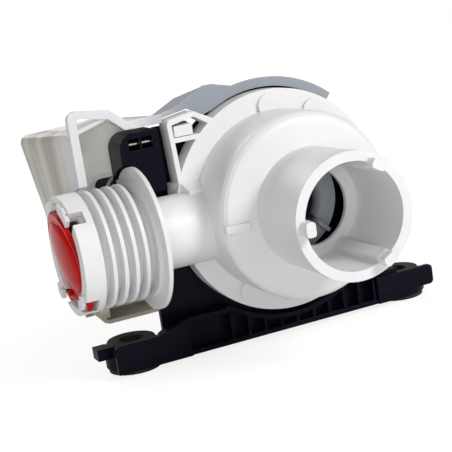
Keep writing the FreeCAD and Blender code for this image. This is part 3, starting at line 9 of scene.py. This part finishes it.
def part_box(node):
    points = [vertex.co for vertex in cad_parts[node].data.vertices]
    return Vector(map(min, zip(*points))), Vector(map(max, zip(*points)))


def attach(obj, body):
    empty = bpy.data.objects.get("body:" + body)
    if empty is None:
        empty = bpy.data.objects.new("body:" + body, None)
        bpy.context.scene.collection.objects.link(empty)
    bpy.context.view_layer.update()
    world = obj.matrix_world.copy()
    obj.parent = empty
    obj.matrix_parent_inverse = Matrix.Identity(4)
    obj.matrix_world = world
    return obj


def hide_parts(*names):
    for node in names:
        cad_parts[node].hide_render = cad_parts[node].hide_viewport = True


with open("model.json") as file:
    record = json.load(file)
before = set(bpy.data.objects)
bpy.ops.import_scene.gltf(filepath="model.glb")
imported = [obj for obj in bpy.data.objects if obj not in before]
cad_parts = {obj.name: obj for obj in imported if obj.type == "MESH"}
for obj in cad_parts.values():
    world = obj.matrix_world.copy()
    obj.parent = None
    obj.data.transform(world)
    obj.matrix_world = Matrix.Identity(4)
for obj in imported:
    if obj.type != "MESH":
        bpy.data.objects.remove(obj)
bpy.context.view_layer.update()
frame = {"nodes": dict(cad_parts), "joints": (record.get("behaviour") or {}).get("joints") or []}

nodes = frame["nodes"]


# Camera. It stands in front of the pump and a little above it, left of the
# suction spigot, and is rolled so that the base runs up to the right.
camera_place = (-0.2367, -0.5517, 0.1777)
facing_right, tipped_down, rolled = 21.67, 11.2, 8.88
lens = bpy.data.cameras.new("camera")
lens.sensor_width = 36.0
lens.lens = 93.3
lens.clip_start = 0.01
camera = bpy.data.objects.new("camera", lens)
bpy.context.scene.collection.objects.link(camera)
camera.matrix_world = (Matrix.Translation(camera_place)
                       @ Matrix.Rotation(math.radians(-facing_right), 4, "Z")
                       @ Matrix.Rotation(math.radians(90 - tipped_down), 4, "X")
                       @ Matrix.Rotation(math.radians(-rolled), 4, "Z"))
bpy.context.scene.camera = camera


# Studio. White paper on the floor and behind, one large soft lamp on the upper
# right in front, a weak one on the left, and one behind for the sides seen there.
lamp_aim = Vector((0.0, 0.0, 0.07))
for name, place, size, power in (("key_lamp", (0.7, -1.0, 0.85), 0.55, 13.4),
                                 ("left_lamp", (-0.6, -1.15, 0.22), 0.6, 3.7),
                                 ("rear_lamp", (-0.3, 0.95, 0.8), 0.6, 5.0)):
    light = bpy.data.lights.new(name, "AREA")
    light.shape = "DISK"
    light.size = size
    light.energy = power
    lamp = bpy.data.objects.new(name, light)
    bpy.context.scene.collection.objects.link(lamp)
    lamp.location = place
    lamp.rotation_euler = (lamp_aim - Vector(place)).to_track_quat("-Z", "Y").to_euler()


def new_node(tree, kind, values=None, **settings):
    """A node of the kind, first with its settings, then with plain values on its named inputs."""
    made = tree.nodes.new(kind)
    for setting, value in settings.items():
        setattr(made, setting, value)
    for socket, value in (values or {}).items():
        made.inputs[socket].default_value = value
    return made


def join(tree, *pairs):
    """Links each pair of sockets, from the one that gives to the one that takes."""
    for giver, taker in pairs:
        tree.links.new(giver, taker)


def ramp(tree, value, start, end, low=0.0, high=1.0):
    """A number that goes from low to high while the value goes from start to end, and stays there."""
    node = new_node(tree, "ShaderNodeMapRange", {"From Min": start, "From Max": end,
                                                 "To Min": low, "To Max": high})
    tree.links.new(value, node.inputs["Value"])
    return node.outputs["Result"]


def white_to_camera(tree, lit, white):
    """Shows the camera the white shader and everything else the lit one, by a share that is returned."""
    ray = new_node(tree, "ShaderNodeLightPath")
    share = new_node(tree, "ShaderNodeMath", {1: 1.0}, operation="MULTIPLY")
    either = new_node(tree, "ShaderNodeMixShader")
    outlet = next(node for node in tree.nodes if "Surface" in node.inputs)
    join(tree,
         (ray.outputs["Is Camera Ray"], share.inputs[0]), (share.outputs["Value"], either.inputs["Fac"]),
         (lit, either.inputs[1]), (white, either.inputs[2]),
         (either.outputs["Shader"], outlet.inputs["Surface"]))
    return share


world = bpy.data.worlds.new("studio")
bpy.context.scene.world = world
world.use_nodes = True
tree = world.node_tree
tree.nodes.clear()
air = new_node(tree, "ShaderNodeBackground", {"Color": (1.0, 0.998, 0.965, 1.0), "Strength": 0.35})
backdrop = new_node(tree, "ShaderNodeBackground", {"Color": (1.0, 1.0, 1.0, 1.0)})
new_node(tree, "ShaderNodeOutputWorld")
white_to_camera(tree, air.outputs["Background"], backdrop.outputs["Background"])

shadow_reach, all_white_from = 0.12, 0.4
white_near_pump = 0.72
paper = bpy.data.materials.new("floor_paper")
paper.use_nodes = True
tree = paper.node_tree
tree.nodes.clear()
matte = new_node(tree, "ShaderNodeBsdfDiffuse", {"Color": (0.85, 0.85, 0.85, 1.0)})
glow = new_node(tree, "ShaderNodeEmission", {"Strength": 1.15})
new_node(tree, "ShaderNodeOutputMaterial")
share = white_to_camera(tree, matte.outputs["BSDF"], glow.outputs["Emission"])
place = new_node(tree, "ShaderNodeTexCoord")
distance = new_node(tree, "ShaderNodeVectorMath", operation="LENGTH")
join(tree, (place.outputs["Object"], distance.inputs[0]),
     (ramp(tree, distance.outputs["Value"], shadow_reach, all_white_from, white_near_pump), share.inputs[1]))

floor_half, floor_drop = 2.0, 0.0002
sheet = bmesh.new()
bmesh.ops.create_grid(sheet, x_segments=2, y_segments=2, size=floor_half)
floor_mesh = bpy.data.meshes.new("floor")
sheet.to_mesh(floor_mesh)
sheet.free()
floor_mesh.transform(Matrix.Translation((0.0, 0.0, -floor_drop)))
floor_mesh.materials.append(paper)
floor = bpy.data.objects.new("floor", floor_mesh)
bpy.context.scene.collection.objects.link(floor)
bpy.context.scene.view_settings.view_transform = "Standard"


# Pump housing. The white cover of the wet end, moulded in one piece with its
# spigot, flange and outlet pipe: a stiff satin plastic, faintly cloudy.
skin = bpy.data.node_groups.new("moulded_skin", "ShaderNodeTree")
for socket in ("Cloud size", "Grain size", "Grain height", "Edge radius"):
    skin.interface.new_socket(socket, in_out="INPUT", socket_type="NodeSocketFloat")
for socket, kind in (("Cloud", "Float"), ("Grain", "Float"), ("Normal", "Vector")):
    skin.interface.new_socket(socket, in_out="OUTPUT", socket_type="NodeSocket" + kind)
entry = new_node(skin, "NodeGroupInput")
leave = new_node(skin, "NodeGroupOutput")
place = new_node(skin, "ShaderNodeTexCoord")
cloud = new_node(skin, "ShaderNodeTexNoise", {"Detail": 3.0})
grain = new_node(skin, "ShaderNodeTexNoise", {"Detail": 2.0})
edge = new_node(skin, "ShaderNodeBevel", samples=6)
relief = new_node(skin, "ShaderNodeBump", {"Strength": 0.35})
join(skin,
     (place.outputs["Object"], cloud.inputs["Vector"]), (entry.outputs["Cloud size"], cloud.inputs["Scale"]),
     (place.outputs["Object"], grain.inputs["Vector"]), (entry.outputs["Grain size"], grain.inputs["Scale"]),
     (entry.outputs["Edge radius"], edge.inputs["Radius"]), (edge.outputs["Normal"], relief.inputs["Normal"]),
     (entry.outputs["Grain height"], relief.inputs["Distance"]),
     (grain.outputs["Fac"], relief.inputs["Height"]),
     (cloud.outputs["Fac"], leave.inputs["Cloud"]), (grain.outputs["Fac"], leave.inputs["Grain"]),
     (relief.outputs["Normal"], leave.inputs["Normal"]))


def blend(tree, share, under, over, kind="MIX"):
    """A node that lays one colour over another by a share; each is a socket or a plain colour."""
    mixed = new_node(tree, "ShaderNodeMix", data_type="RGBA", blend_type=kind)
    tree.links.new(share, mixed.inputs["Factor"])
    for socket, colour in (("A", under), ("B", over)):
        if isinstance(colour, tuple):
            mixed.inputs[socket].default_value = (*colour, 1.0)
        else:
            tree.links.new(colour, mixed.inputs[socket])
    return mixed


def finish(name, dark, light, smooth, rough, cloud_size=35.0, grain_size=900.0, grain_height=0.00003,
           edge_radius=0.0004, metallic=0.0, shine=0.5):
    """A material whose colour and gloss drift with the skin group's clouds and grain."""
    matter = bpy.data.materials.new(name)
    matter.use_nodes = True
    tree = matter.node_tree
    shader = tree.nodes["Principled BSDF"]
    shader.inputs["Metallic"].default_value = metallic
    shader.inputs["Specular IOR Level"].default_value = shine
    surface = new_node(tree, "ShaderNodeGroup", {"Cloud size": cloud_size, "Grain size": grain_size,
                                                 "Grain height": grain_height, "Edge radius": edge_radius},
                       node_tree=skin, name="skin")
    tone = blend(tree, surface.outputs["Cloud"], dark, light)
    tone.name = "tone"
    gloss = ramp(tree, surface.outputs["Grain"], 0.0, 1.0, smooth, rough)
    join(tree, (tone.outputs["Result"], shader.inputs["Base Color"]), (gloss, shader.inputs["Roughness"]),
         (surface.outputs["Normal"], shader.inputs["Normal"]))
    return matter


def dress(name, matter):
    """Gives the CAD node this one material."""
    nodes[name].data.materials.clear()
    nodes[name].data.materials.append(matter)


white_moulding = finish("white_moulding", (0.73, 0.72, 0.725), (0.82, 0.815, 0.83), 0.34, 0.5)
dress("pump_housing", white_moulding)


# Outlet fitting and valve cage. The hose rings with their stop disc slide over
# the outlet pipe, and the cage snaps into the collar; both are the same white plastic.
dress("outlet_fitting", white_moulding)
dress("valve_cage", white_moulding)


# Check flap. A soft red rubber disc with a thick rim and a domed middle, swinging
# on a bar in the cage's lower notch so that waste water can't run back.
flap_rubber = finish("flap_rubber", (0.42, 0.004, 0.004), (0.62, 0.008, 0.007), 0.12, 0.22,
                     cloud_size=60.0, grain_size=1100.0, shine=0.09)
dress("check_flap", flap_rubber)


def turned(name, profile, middle, along, matter, body, steps=72):
    """A closed solid turned round an axis; profile holds (radius, distance along it)."""
    along = Vector(along).normalized()
    across = along.orthogonal().normalized()
    third = along.cross(across)
    shape = bmesh.new()
    rings = []
    for radius, height in profile:
        if radius == 0.0:
            rings.append([shape.verts.new(middle + along * height)])
            continue
        turns = [2 * math.pi * step / steps for step in range(steps)]
        rings.append([shape.verts.new(middle + along * height
                                      + (across * math.cos(turn) + third * math.sin(turn)) * radius)
                      for turn in turns])
    for low, high in zip(rings, rings[1:]):
        for step in range(steps):
            after = (step + 1) % steps
            if len(low) == 1:
                shape.faces.new((low[0], high[step], high[after]))
            elif len(high) == 1:
                shape.faces.new((low[step], high[0], low[after]))
            else:
                shape.faces.new((low[step], high[step], high[after], low[after]))
    bmesh.ops.recalc_face_normals(shape, faces=shape.faces)
    mesh = bpy.data.meshes.new(name)
    shape.to_mesh(mesh)
    shape.free()
    mesh.shade_smooth()
    mesh.set_sharp_from_angle(angle=math.radians(35))
    mesh.materials.append(matter)
    piece = bpy.data.objects.new(name, mesh)
    bpy.context.scene.collection.objects.link(piece)
    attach(piece, body)
    return piece


hinge = Vector(frame["joints"][2]["pos_m"])
lean = math.radians(8)
upward = Vector((-math.sin(lean), 0.0, math.cos(lean)))
outward = Vector((-math.cos(lean), 0.0, -math.sin(lean)))
hinge_to_middle = 0.0222
dome_radius, dome_height = 0.0179, 0.0034
dome_foot, dome_root = -0.0003, -0.0008
dome = [(0.0, dome_root), (dome_radius, dome_root)]
dome += [(dome_radius * math.cos(turn), dome_foot + dome_height * math.sin(turn))
         for turn in (math.radians(4 * step) for step in range(23))]
dome[-1] = (0.0, dome_height + dome_foot)
turned("flap_dome", dome, hinge + upward * hinge_to_middle, outward, flap_rubber, "check_flap")


# Impeller and drive dog. Glass-filled plastic moulding; the wheel turns freely on the shaft until the dog
# inside its hub catches it.
# Its own blue-grey is lifted pale as painted light, and its darker middle is painted shade from the bore it
# sits in.
black_moulding = finish("black_moulding", (0.0015, 0.001, 0.004), (0.006, 0.0035, 0.012), 0.2, 0.42,
                        cloud_size=25.0, grain_size=700.0, grain_height=0.00005, edge_radius=0.0005,
                        shine=0.09)
# Painted light: the wheel's colour is set far paler than its plastic, to show lit in the shade of the bore.
wheel_moulding = finish("wheel_moulding", (0.62, 0.7, 0.76), (0.8, 0.88, 0.95), 0.2, 0.32)
shaft = Vector(frame["joints"][0]["pos_m"])
# Painted shade: the wheel darkens towards the shaft, deeper in the bore's shade.
dark_within, pale_beyond = 0.0145, 0.0205
painted_shade_colour = (0.02, 0.018, 0.03)
tree = wheel_moulding.node_tree
place = new_node(tree, "ShaderNodeTexCoord")
to_shaft = new_node(tree, "ShaderNodeMapping", {"Location": (-shaft.x, 0.0, -shaft.z),
                                                "Scale": (1.0, 0.0, 1.0)})
radius = new_node(tree, "ShaderNodeVectorMath", operation="LENGTH")
painted_shade_middle = blend(tree, ramp(tree, radius.outputs["Value"], dark_within, pale_beyond), painted_shade_colour,
             tree.nodes["tone"].outputs["Result"])
join(tree, (place.outputs["Object"], to_shaft.inputs["Vector"]),
     (to_shaft.outputs["Vector"], radius.inputs[0]),
     (painted_shade_middle.outputs["Result"], tree.nodes["Principled BSDF"].inputs["Base Color"]))
dress("impeller", wheel_moulding)
dress("drive_dog", black_moulding)


# Rotor. A sintered ferrite magnet in a plastic sleeve on a ground steel shaft,
# which runs in porous bushes held by rubber rings between thrust washers.
ground_steel = finish("ground_steel", (0.42, 0.42, 0.43), (0.56, 0.56, 0.57), 0.2, 0.34, cloud_size=60.0,
                      grain_size=1500.0, grain_height=0.00001, edge_radius=0.0002, metallic=1.0)
ferrite = finish("ferrite", (0.02, 0.02, 0.022), (0.05, 0.05, 0.052), 0.4, 0.6)
porous_bronze = finish("porous_bronze", (0.14, 0.13, 0.12), (0.24, 0.22, 0.2), 0.36, 0.5, cloud_size=60.0,
                       grain_size=1800.0, edge_radius=0.0002, metallic=1.0)
soft_rubber = finish("soft_rubber", (0.008, 0.008, 0.009), (0.016, 0.016, 0.017), 0.55, 0.75, cloud_size=60.0,
                     grain_size=1200.0, grain_height=0.00004, edge_radius=0.0006)
dress("rotor_shaft", ground_steel)
dress("rotor_magnet", ferrite)
dress("magnet_sleeve", black_moulding)
for end in ("front", "rear"):
    dress(end + "_bush", porous_bronze)
    dress(end + "_bush_rubber", soft_rubber)
    dress(end + "_thrust_washer", ground_steel)


# Motor plate. The sealed rotor well and its plate are one black moulding, screwed to
# the pump housing with a rubber ring between them; the front bearing sits under a cover.
dress("bearing_cover", black_moulding)
dress("rotor_well", black_moulding)
dress("volute_seal", soft_rubber)


# Stator core. Electrical steel sheets half a millimetre thick, stacked into a U round
# the rotor well; the wave in its bump shows the edge of each sheet.
core_steel = finish("core_steel", (0.16, 0.16, 0.17), (0.26, 0.26, 0.27), 0.34, 0.5, cloud_size=60.0,
                    metallic=1.0)
sheets_to_wave, sheet_relief = 628.0, 0.00008
tree = core_steel.node_tree
sheets = new_node(tree, "ShaderNodeTexWave", {"Scale": sheets_to_wave}, bands_direction="Y")
place = new_node(tree, "ShaderNodeTexCoord")
ridge = new_node(tree, "ShaderNodeBump", {"Distance": sheet_relief})
join(tree,
     (place.outputs["Object"], sheets.inputs["Vector"]), (sheets.outputs["Fac"], ridge.inputs["Height"]),
     (tree.nodes["skin"].outputs["Normal"], ridge.inputs["Normal"]),
     (ridge.outputs["Normal"], tree.nodes["Principled BSDF"].inputs["Normal"]))
dress("stator_core", core_steel)


# Coils. Enamelled copper wire on two pale moulded bobbins, one round each leg of the
# core; the outermost turns are laid side by side, a little unevenly.
bobbin_moulding = finish("bobbin_moulding", (0.55, 0.54, 0.49), (0.66, 0.65, 0.6), 0.4, 0.5)
enamelled_copper = finish("enamelled_copper", (0.36, 0.1, 0.035), (0.52, 0.17, 0.06), 0.22, 0.35,
                          cloud_size=60.0, grain_height=0.00002, edge_radius=0.0002, metallic=1.0)


def shape_tree(name, inputs):
    """A geometry tree with the named inputs, which ends in its realised, finished mesh."""
    tree = bpy.data.node_groups.new(name, "GeometryNodeTree")
    tree.interface.new_socket("Geometry", in_out="OUTPUT", socket_type="NodeSocketGeometry")
    tree.interface.new_socket("Geometry", in_out="INPUT", socket_type="NodeSocketGeometry")
    for socket, kind in inputs.items():
        tree.interface.new_socket(socket, in_out="INPUT", socket_type="NodeSocket" + kind)
    tree.interface.new_socket("Material", in_out="INPUT", socket_type="NodeSocketMaterial")
    entry = new_node(tree, "NodeGroupInput")
    copies = new_node(tree, "GeometryNodeInstanceOnPoints")
    real = new_node(tree, "GeometryNodeRealizeInstances")
    paint = new_node(tree, "GeometryNodeSetMaterial")
    leave = new_node(tree, "NodeGroupOutput")
    join(tree, (copies.outputs["Instances"], real.inputs["Geometry"]),
         (real.outputs["Geometry"], paint.inputs["Geometry"]),
         (entry.outputs["Material"], paint.inputs["Material"]),
         (paint.outputs["Geometry"], leave.inputs["Geometry"]))
    return tree, entry, copies


def grown(name, tree, values, matter, start=None, body="housing"):
    """The tree's result as a plain mesh, on a piece that rides on the body; start is the mesh it copies."""
    piece = bpy.data.objects.new(name, start or bpy.data.meshes.new(name))
    bpy.context.scene.collection.objects.link(piece)
    modifier = piece.modifiers.new("nodes", "NODES")
    modifier.node_group = tree
    for item in tree.interface.items_tree:
        if item.in_out == "INPUT" and item.name in values:
            modifier[item.identifier] = values[item.name]
        if item.in_out == "INPUT" and item.name == "Material":
            modifier[item.identifier] = matter
    graph = bpy.context.evaluated_depsgraph_get()
    mesh = bpy.data.meshes.new_from_object(piece.evaluated_get(graph), depsgraph=graph)
    piece.modifiers.remove(modifier)
    piece.data = mesh
    mesh.shade_smooth()
    mesh.set_sharp_from_angle(angle=math.radians(40))
    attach(piece, body)
    return piece


turns, entry, copies = shape_tree("coil_turns", {"Width": "Float", "Height": "Float", "Corner": "Float",
                                                 "Wire": "Float", "Turns": "Int", "Pitch": "Vector",
                                                 "Start": "Vector", "Unevenness": "Vector"})
loop = new_node(turns, "GeometryNodeCurvePrimitiveQuadrilateral")
corners = new_node(turns, "GeometryNodeFilletCurve", {"Count": 5}, mode="POLY")
round_wire = new_node(turns, "GeometryNodeCurvePrimitiveCircle", {"Resolution": 6})
swept = new_node(turns, "GeometryNodeCurveToMesh")
upright = new_node(turns, "GeometryNodeTransform", {"Rotation": (math.pi / 2, 0.0, math.pi / 2)})
row = new_node(turns, "GeometryNodeMeshLine")
shift = new_node(turns, "FunctionNodeRandomValue", {"Seed": 7, "Min": (0.0, 0.0, 0.0)},
                 data_type="FLOAT_VECTOR")
loose = new_node(turns, "GeometryNodeSetPosition")
join(turns,
     (entry.outputs["Width"], loop.inputs["Width"]), (entry.outputs["Height"], loop.inputs["Height"]),
     (loop.outputs["Curve"], corners.inputs["Curve"]), (entry.outputs["Corner"], corners.inputs["Radius"]),
     (entry.outputs["Wire"], round_wire.inputs["Radius"]), (corners.outputs["Curve"], swept.inputs["Curve"]),
     (round_wire.outputs["Curve"], swept.inputs["Profile Curve"]),
     (swept.outputs["Mesh"], upright.inputs["Geometry"]),
     (entry.outputs["Turns"], row.inputs["Count"]), (entry.outputs["Start"], row.inputs["Start Location"]),
     (entry.outputs["Pitch"], row.inputs["Offset"]), (row.outputs["Mesh"], loose.inputs["Geometry"]),
     (entry.outputs["Unevenness"], shift.inputs["Max"]), (shift.outputs["Value"], loose.inputs["Offset"]),
     (loose.outputs["Geometry"], copies.inputs["Points"]),
     (upright.outputs["Geometry"], copies.inputs["Instance"]))
wire, coil_corner, wander = 0.00023, 0.0036, 0.00008
for level in ("upper", "lower"):
    dress(level + "_bobbin", bobbin_moulding)
    dress(level + "_winding", enamelled_copper)
    low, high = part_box(level + "_winding")
    middle = (low + high) / 2
    pitch = 2 * wire
    count = int((high.x - low.x) / pitch)
    grown(level + "_turns", turns,
          {"Width": high.y - low.y - wire, "Height": high.z - low.z - wire, "Corner": coil_corner,
           "Wire": wire, "Turns": count, "Pitch": (pitch, 0.0, 0.0),
           "Start": (low.x + wire, middle.y, middle.z), "Unevenness": (0.0, wander, wander)},
          enamelled_copper)


# Shade board. A dark sheet that stands upright beside the core, a millimetre off its sheets, and shows
# through the hood's window as painted shade, the dark inside the hood; its edges are rubbed round.
# Painted shade: a near-black sheet put where the hood's window shows only the shade inside.
shade_board_black = finish("shade_board_black", (0.02, 0.018, 0.016), (0.045, 0.04, 0.036), 0.45, 0.6)
low, high = Vector((-0.084, 0.0164, 0.074)), Vector((-0.0665, 0.0178, 0.0995))
board_edge = 0.0004
board = bmesh.new()
bmesh.ops.create_cube(board, size=1.0)
bmesh.ops.scale(board, vec=high - low, verts=board.verts)
bmesh.ops.translate(board, vec=(low + high) / 2, verts=board.verts)
bmesh.ops.bevel(board, geom=board.edges[:], offset=board_edge, segments=2, affect="EDGES")
board_mesh = bpy.data.meshes.new("window_shade_board")
board.to_mesh(board_mesh)
board.free()
board_mesh.materials.append(shade_board_black)
window_shade_board = bpy.data.objects.new("window_shade_board", board_mesh)
bpy.context.scene.collection.objects.link(window_shade_board)
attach(window_shade_board, "housing")


# Coil lead. The pale sleeved end of a coil's wire, bent in a short arc in front of the
# board, from the middle of the hood's window back to the side of the core.
lead_points = ((-0.0745, 0.0155, 0.0845), (-0.0705, 0.0140, 0.0935), (-0.0645, 0.0155, 0.0955))
lead_radius = 0.0009
path = bpy.data.curves.new("coil_lead", "CURVE")
path.dimensions = "3D"
path.bevel_depth = lead_radius
path.bevel_resolution = 4
path.use_fill_caps = True
bend = path.splines.new("BEZIER")
bend.bezier_points.add(len(lead_points) - 1)
for point, place in zip(bend.bezier_points, lead_points):
    point.co = place
    point.handle_left_type = "AUTO"
    point.handle_right_type = "AUTO"
lead_path = bpy.data.objects.new("lead_path", path)
bpy.context.scene.collection.objects.link(lead_path)
lead_mesh = bpy.data.meshes.new_from_object(lead_path.evaluated_get(bpy.context.evaluated_depsgraph_get()))
bpy.data.objects.remove(lead_path)
lead_mesh.materials.clear()
lead_mesh.materials.append(bobbin_moulding)
lead_mesh.shade_smooth()
coil_lead = bpy.data.objects.new("coil_lead", lead_mesh)
bpy.context.scene.collection.objects.link(coil_lead)
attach(coil_lead, "housing")


# Core rivets. Four steel rivets hold the core's sheets together, one near each corner,
# with low round heads on the side away from the pump housing.
rivets, entry, copies = shape_tree("core_rivets", {"Span": "Float", "Height": "Float", "Radius": "Float",
                                                   "Middle": "Vector"})
head_flatness = 0.45
places = new_node(rivets, "GeometryNodeMeshGrid", {"Vertices X": 2, "Vertices Y": 2})
stand = new_node(rivets, "GeometryNodeTransform", {"Rotation": (math.pi / 2, 0.0, 0.0)})
head = new_node(rivets, "GeometryNodeMeshUVSphere", {"Segments": 24, "Rings": 12})
low_dome = new_node(rivets, "GeometryNodeTransform", {"Scale": (1.0, head_flatness, 1.0)})
join(rivets,
     (entry.outputs["Span"], places.inputs["Size X"]), (entry.outputs["Height"], places.inputs["Size Y"]),
     (places.outputs["Mesh"], stand.inputs["Geometry"]),
     (entry.outputs["Middle"], stand.inputs["Translation"]),
     (entry.outputs["Radius"], head.inputs["Radius"]), (head.outputs["Mesh"], low_dome.inputs["Geometry"]),
     (stand.outputs["Geometry"], copies.inputs["Points"]),
     (low_dome.outputs["Geometry"], copies.inputs["Instance"]))
rivet_radius, from_sides, from_ends = 0.0024, 0.0065, 0.0055
low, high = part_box("stator_core")
grown("core_rivets", rivets,
      {"Span": high.x - low.x - 2 * from_sides, "Height": high.z - low.z - 2 * from_ends,
       "Radius": rivet_radius, "Middle": ((low.x + high.x) / 2, high.y, (low.z + high.z) / 2)},
      ground_steel)


# Terminal block. A black moulded tower beside the coils, with two sockets for the
# machine's plug and a tinned brass blade in each.
tinned_brass = finish("tinned_brass", (0.5, 0.48, 0.42), (0.64, 0.62, 0.56), 0.2, 0.35, cloud_size=80.0,
                      grain_size=1500.0, grain_height=0.00001, edge_radius=0.0002, metallic=1.0)
dress("terminal_block", black_moulding)
dress("blade_terminals", tinned_brass)


# Base bracket and its feet. One black moulding with a cradle and a clamp ring carries
# the motor, and stands on rubber rings that are pressed into its two end eyes.
dress("base_bracket", black_moulding)
dress("left_grommet", soft_rubber)
dress("right_grommet", soft_rubber)


# Cover screws. Four steel screws with dished, cross-recessed heads go through the motor
# plate from behind, in pairs at the top and the bottom, into the cover's white bosses.
screw_radius, head_radius = 0.002, 0.004
tip_radius, tip_length = 0.0014, 0.001
head_height, head_edge = 0.0026, 0.0013
crown = [(0.0036, 0.0005), (0.0027, 0.0001)]
cross_length, cross_depth, cross_width = 0.0044, 0.0015, 0.00085
low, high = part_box("cover_screws")
length = high.y - low.y
screw = [(0.0, 0.0), (tip_radius, 0.0), (screw_radius, tip_length), (screw_radius, length - head_height),
         (head_radius, length - head_height), (head_radius, length - head_edge)]
screw += [(radius, length - below) for radius, below in crown] + [(0.0, length)]
blank = turned("screw_blank", screw, Vector((0.0, low.y, 0.0)), (0.0, 1.0, 0.0), ground_steel, "housing", 32)
recess = bmesh.new()
for turn in (0.0, math.pi / 2):
    bar = bmesh.ops.create_cube(recess, size=1.0)["verts"]
    bmesh.ops.scale(recess, vec=(cross_length, 2 * cross_depth, cross_width), verts=bar)
    bmesh.ops.rotate(recess, cent=(0, 0, 0), matrix=Matrix.Rotation(turn, 3, "Y"), verts=bar)
    bmesh.ops.translate(recess, vec=(0.0, high.y, 0.0), verts=bar)
cross_mesh = bpy.data.meshes.new("screw_cross")
recess.to_mesh(cross_mesh)
recess.free()
cross = bpy.data.objects.new("screw_cross", cross_mesh)
bpy.context.scene.collection.objects.link(cross)
cut = blank.modifiers.new("cross", "BOOLEAN")
cut.object = cross
cut.use_self = True
graph = bpy.context.evaluated_depsgraph_get()
one_screw = bpy.data.meshes.new_from_object(blank.evaluated_get(graph), depsgraph=graph)
bpy.data.objects.remove(blank)
bpy.data.objects.remove(cross)

screws, entry, copies = shape_tree("cover_screws", {"Circle": "Float", "Step": "Float", "Middle": "Vector"})
points = new_node(screws, "GeometryNodePoints", {"Count": 4})
index = new_node(screws, "GeometryNodeInputIndex")


def sum_of(operation, *values):
    """A sum in the tree for the screws' places; each value is a socket or a plain number."""
    node = new_node(screws, "ShaderNodeMath", operation=operation)
    for socket, value in zip(node.inputs, values):
        if isinstance(value, (int, float)):
            socket.default_value = value
        else:
            screws.links.new(value, socket)
    return node.outputs["Value"]


pair_apart = math.radians(30)
half = sum_of("FLOOR", sum_of("DIVIDE", index.outputs["Index"], 2.0))
odd = sum_of("MODULO", index.outputs["Index"], 2.0)
back = sum_of("MULTIPLY", odd, entry.outputs["Step"])
turn = sum_of("SUBTRACT", sum_of("MULTIPLY_ADD", half, math.pi, math.pi / 2), back)
around = new_node(screws, "ShaderNodeCombineXYZ")
centred = new_node(screws, "ShaderNodeVectorMath")
join(screws,
     (sum_of("MULTIPLY", sum_of("COSINE", turn), entry.outputs["Circle"]), around.inputs["X"]),
     (sum_of("MULTIPLY", sum_of("SINE", turn), entry.outputs["Circle"]), around.inputs["Z"]),
     (around.outputs["Vector"], centred.inputs[0]), (entry.outputs["Middle"], centred.inputs[1]),
     (centred.outputs["Vector"], points.inputs["Position"]),
     (points.outputs["Points"], copies.inputs["Points"]),
     (entry.outputs["Geometry"], copies.inputs["Instance"]))
cover_screws = grown("recessed_screws", screws,
                     {"Circle": high.z - shaft.z - head_radius, "Step": pair_apart,
                      "Middle": (shaft.x, 0.0, shaft.z)}, ground_steel, one_screw)
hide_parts("cover_screws")


# Drip hood and its latch. A thin grey moulding that lets some light through and
# keeps drips off the motor; a white block holds it in the bracket arm's window.
hood_moulding = finish("hood_moulding", (0.43, 0.405, 0.36), (0.72, 0.71, 0.685), 0.3, 0.46)
tree = hood_moulding.node_tree
shader = tree.nodes["Principled BSDF"]
shader.inputs["Subsurface Weight"].default_value = 0.35
shader.inputs["Subsurface Radius"].default_value = (0.004, 0.0036, 0.003)
shader.inputs["Subsurface Scale"].default_value = 1.0
place = new_node(tree, "ShaderNodeTexCoord")
where = new_node(tree, "ShaderNodeSeparateXYZ")
# Painted reflection: the hood's tone runs in long upright light and dark streaks, the glints along its walls.
stretch = new_node(tree, "ShaderNodeMapping", {"Scale": (1.0, 1.0, 0.05)})
reflection_streaks = new_node(tree, "ShaderNodeTexNoise", {"Scale": 90.0, "Detail": 2.0})
join(tree,
     (place.outputs["Object"], where.inputs["Vector"]), (place.outputs["Object"], stretch.inputs["Vector"]),
     (stretch.outputs["Vector"], reflection_streaks.inputs["Vector"]),
     (ramp(tree, reflection_streaks.outputs["Fac"], 0.32, 0.68), tree.nodes["tone"].inputs["Factor"]))


def past(axis, start, end):
    """A share that is 0 before start and 1 past end on the pump's own axis."""
    return ramp(tree, where.outputs[axis], start, end)


def both(first, second):
    """The share where two shares hold together."""
    product = new_node(tree, "ShaderNodeMath", operation="MULTIPLY")
    join(tree, (first, product.inputs[0]), (second, product.inputs[1]))
    return product.outputs["Value"]


# Painted light and shade by place: a lighter tone right of the left side and on the rim in front, a darker
# blue-grey painted shade on the arch over the dark motor, and a brownish painted shadow at the foot of the
# panel under the collar.
light_and_shade_tints = {"right of the left side": ("X", -0.097, -0.088, (0.74, 0.73, 0.7)),
         "rim in front": ("Y", 0.003, -0.004, (0.7, 0.69, 0.72)),
         "arch over the motor": ("X", -0.062, -0.035, (0.3, 0.325, 0.365)),
         "foot of the panel": ("Z", 0.04, 0.033, (0.3, 0.27, 0.2))}
colour = tree.nodes["tone"].outputs["Result"]
for axis, start, end, tint in light_and_shade_tints.values():
    colour = blend(tree, past(axis, start, end), colour, tint).outputs["Result"]
panel_left, panel_front = (-0.0925, -0.0915), (0.0085, 0.009)
window_lip, arch_left = (0.0108, 0.0103), (-0.062, -0.05)
inside = both(past("X", *panel_left), past("Y", *panel_front))
# Painted light: the panel behind the window is lifted as if lit through the hood, and its lip gets a painted
# highlight.
panel = blend(tree, inside, colour, (0.4, 0.39, 0.36), "ADD")
lip = both(inside, past("Y", *window_lip))
lit_lip = blend(tree, lip, panel.outputs["Result"], (0.98, 0.98, 0.96))
top = blend(tree, past("X", *arch_left), lit_lip.outputs["Result"], colour)
tree.links.new(top.outputs["Result"], shader.inputs["Base Color"])
dress("drip_hood", hood_moulding)
dress("hood_latch", white_moulding)
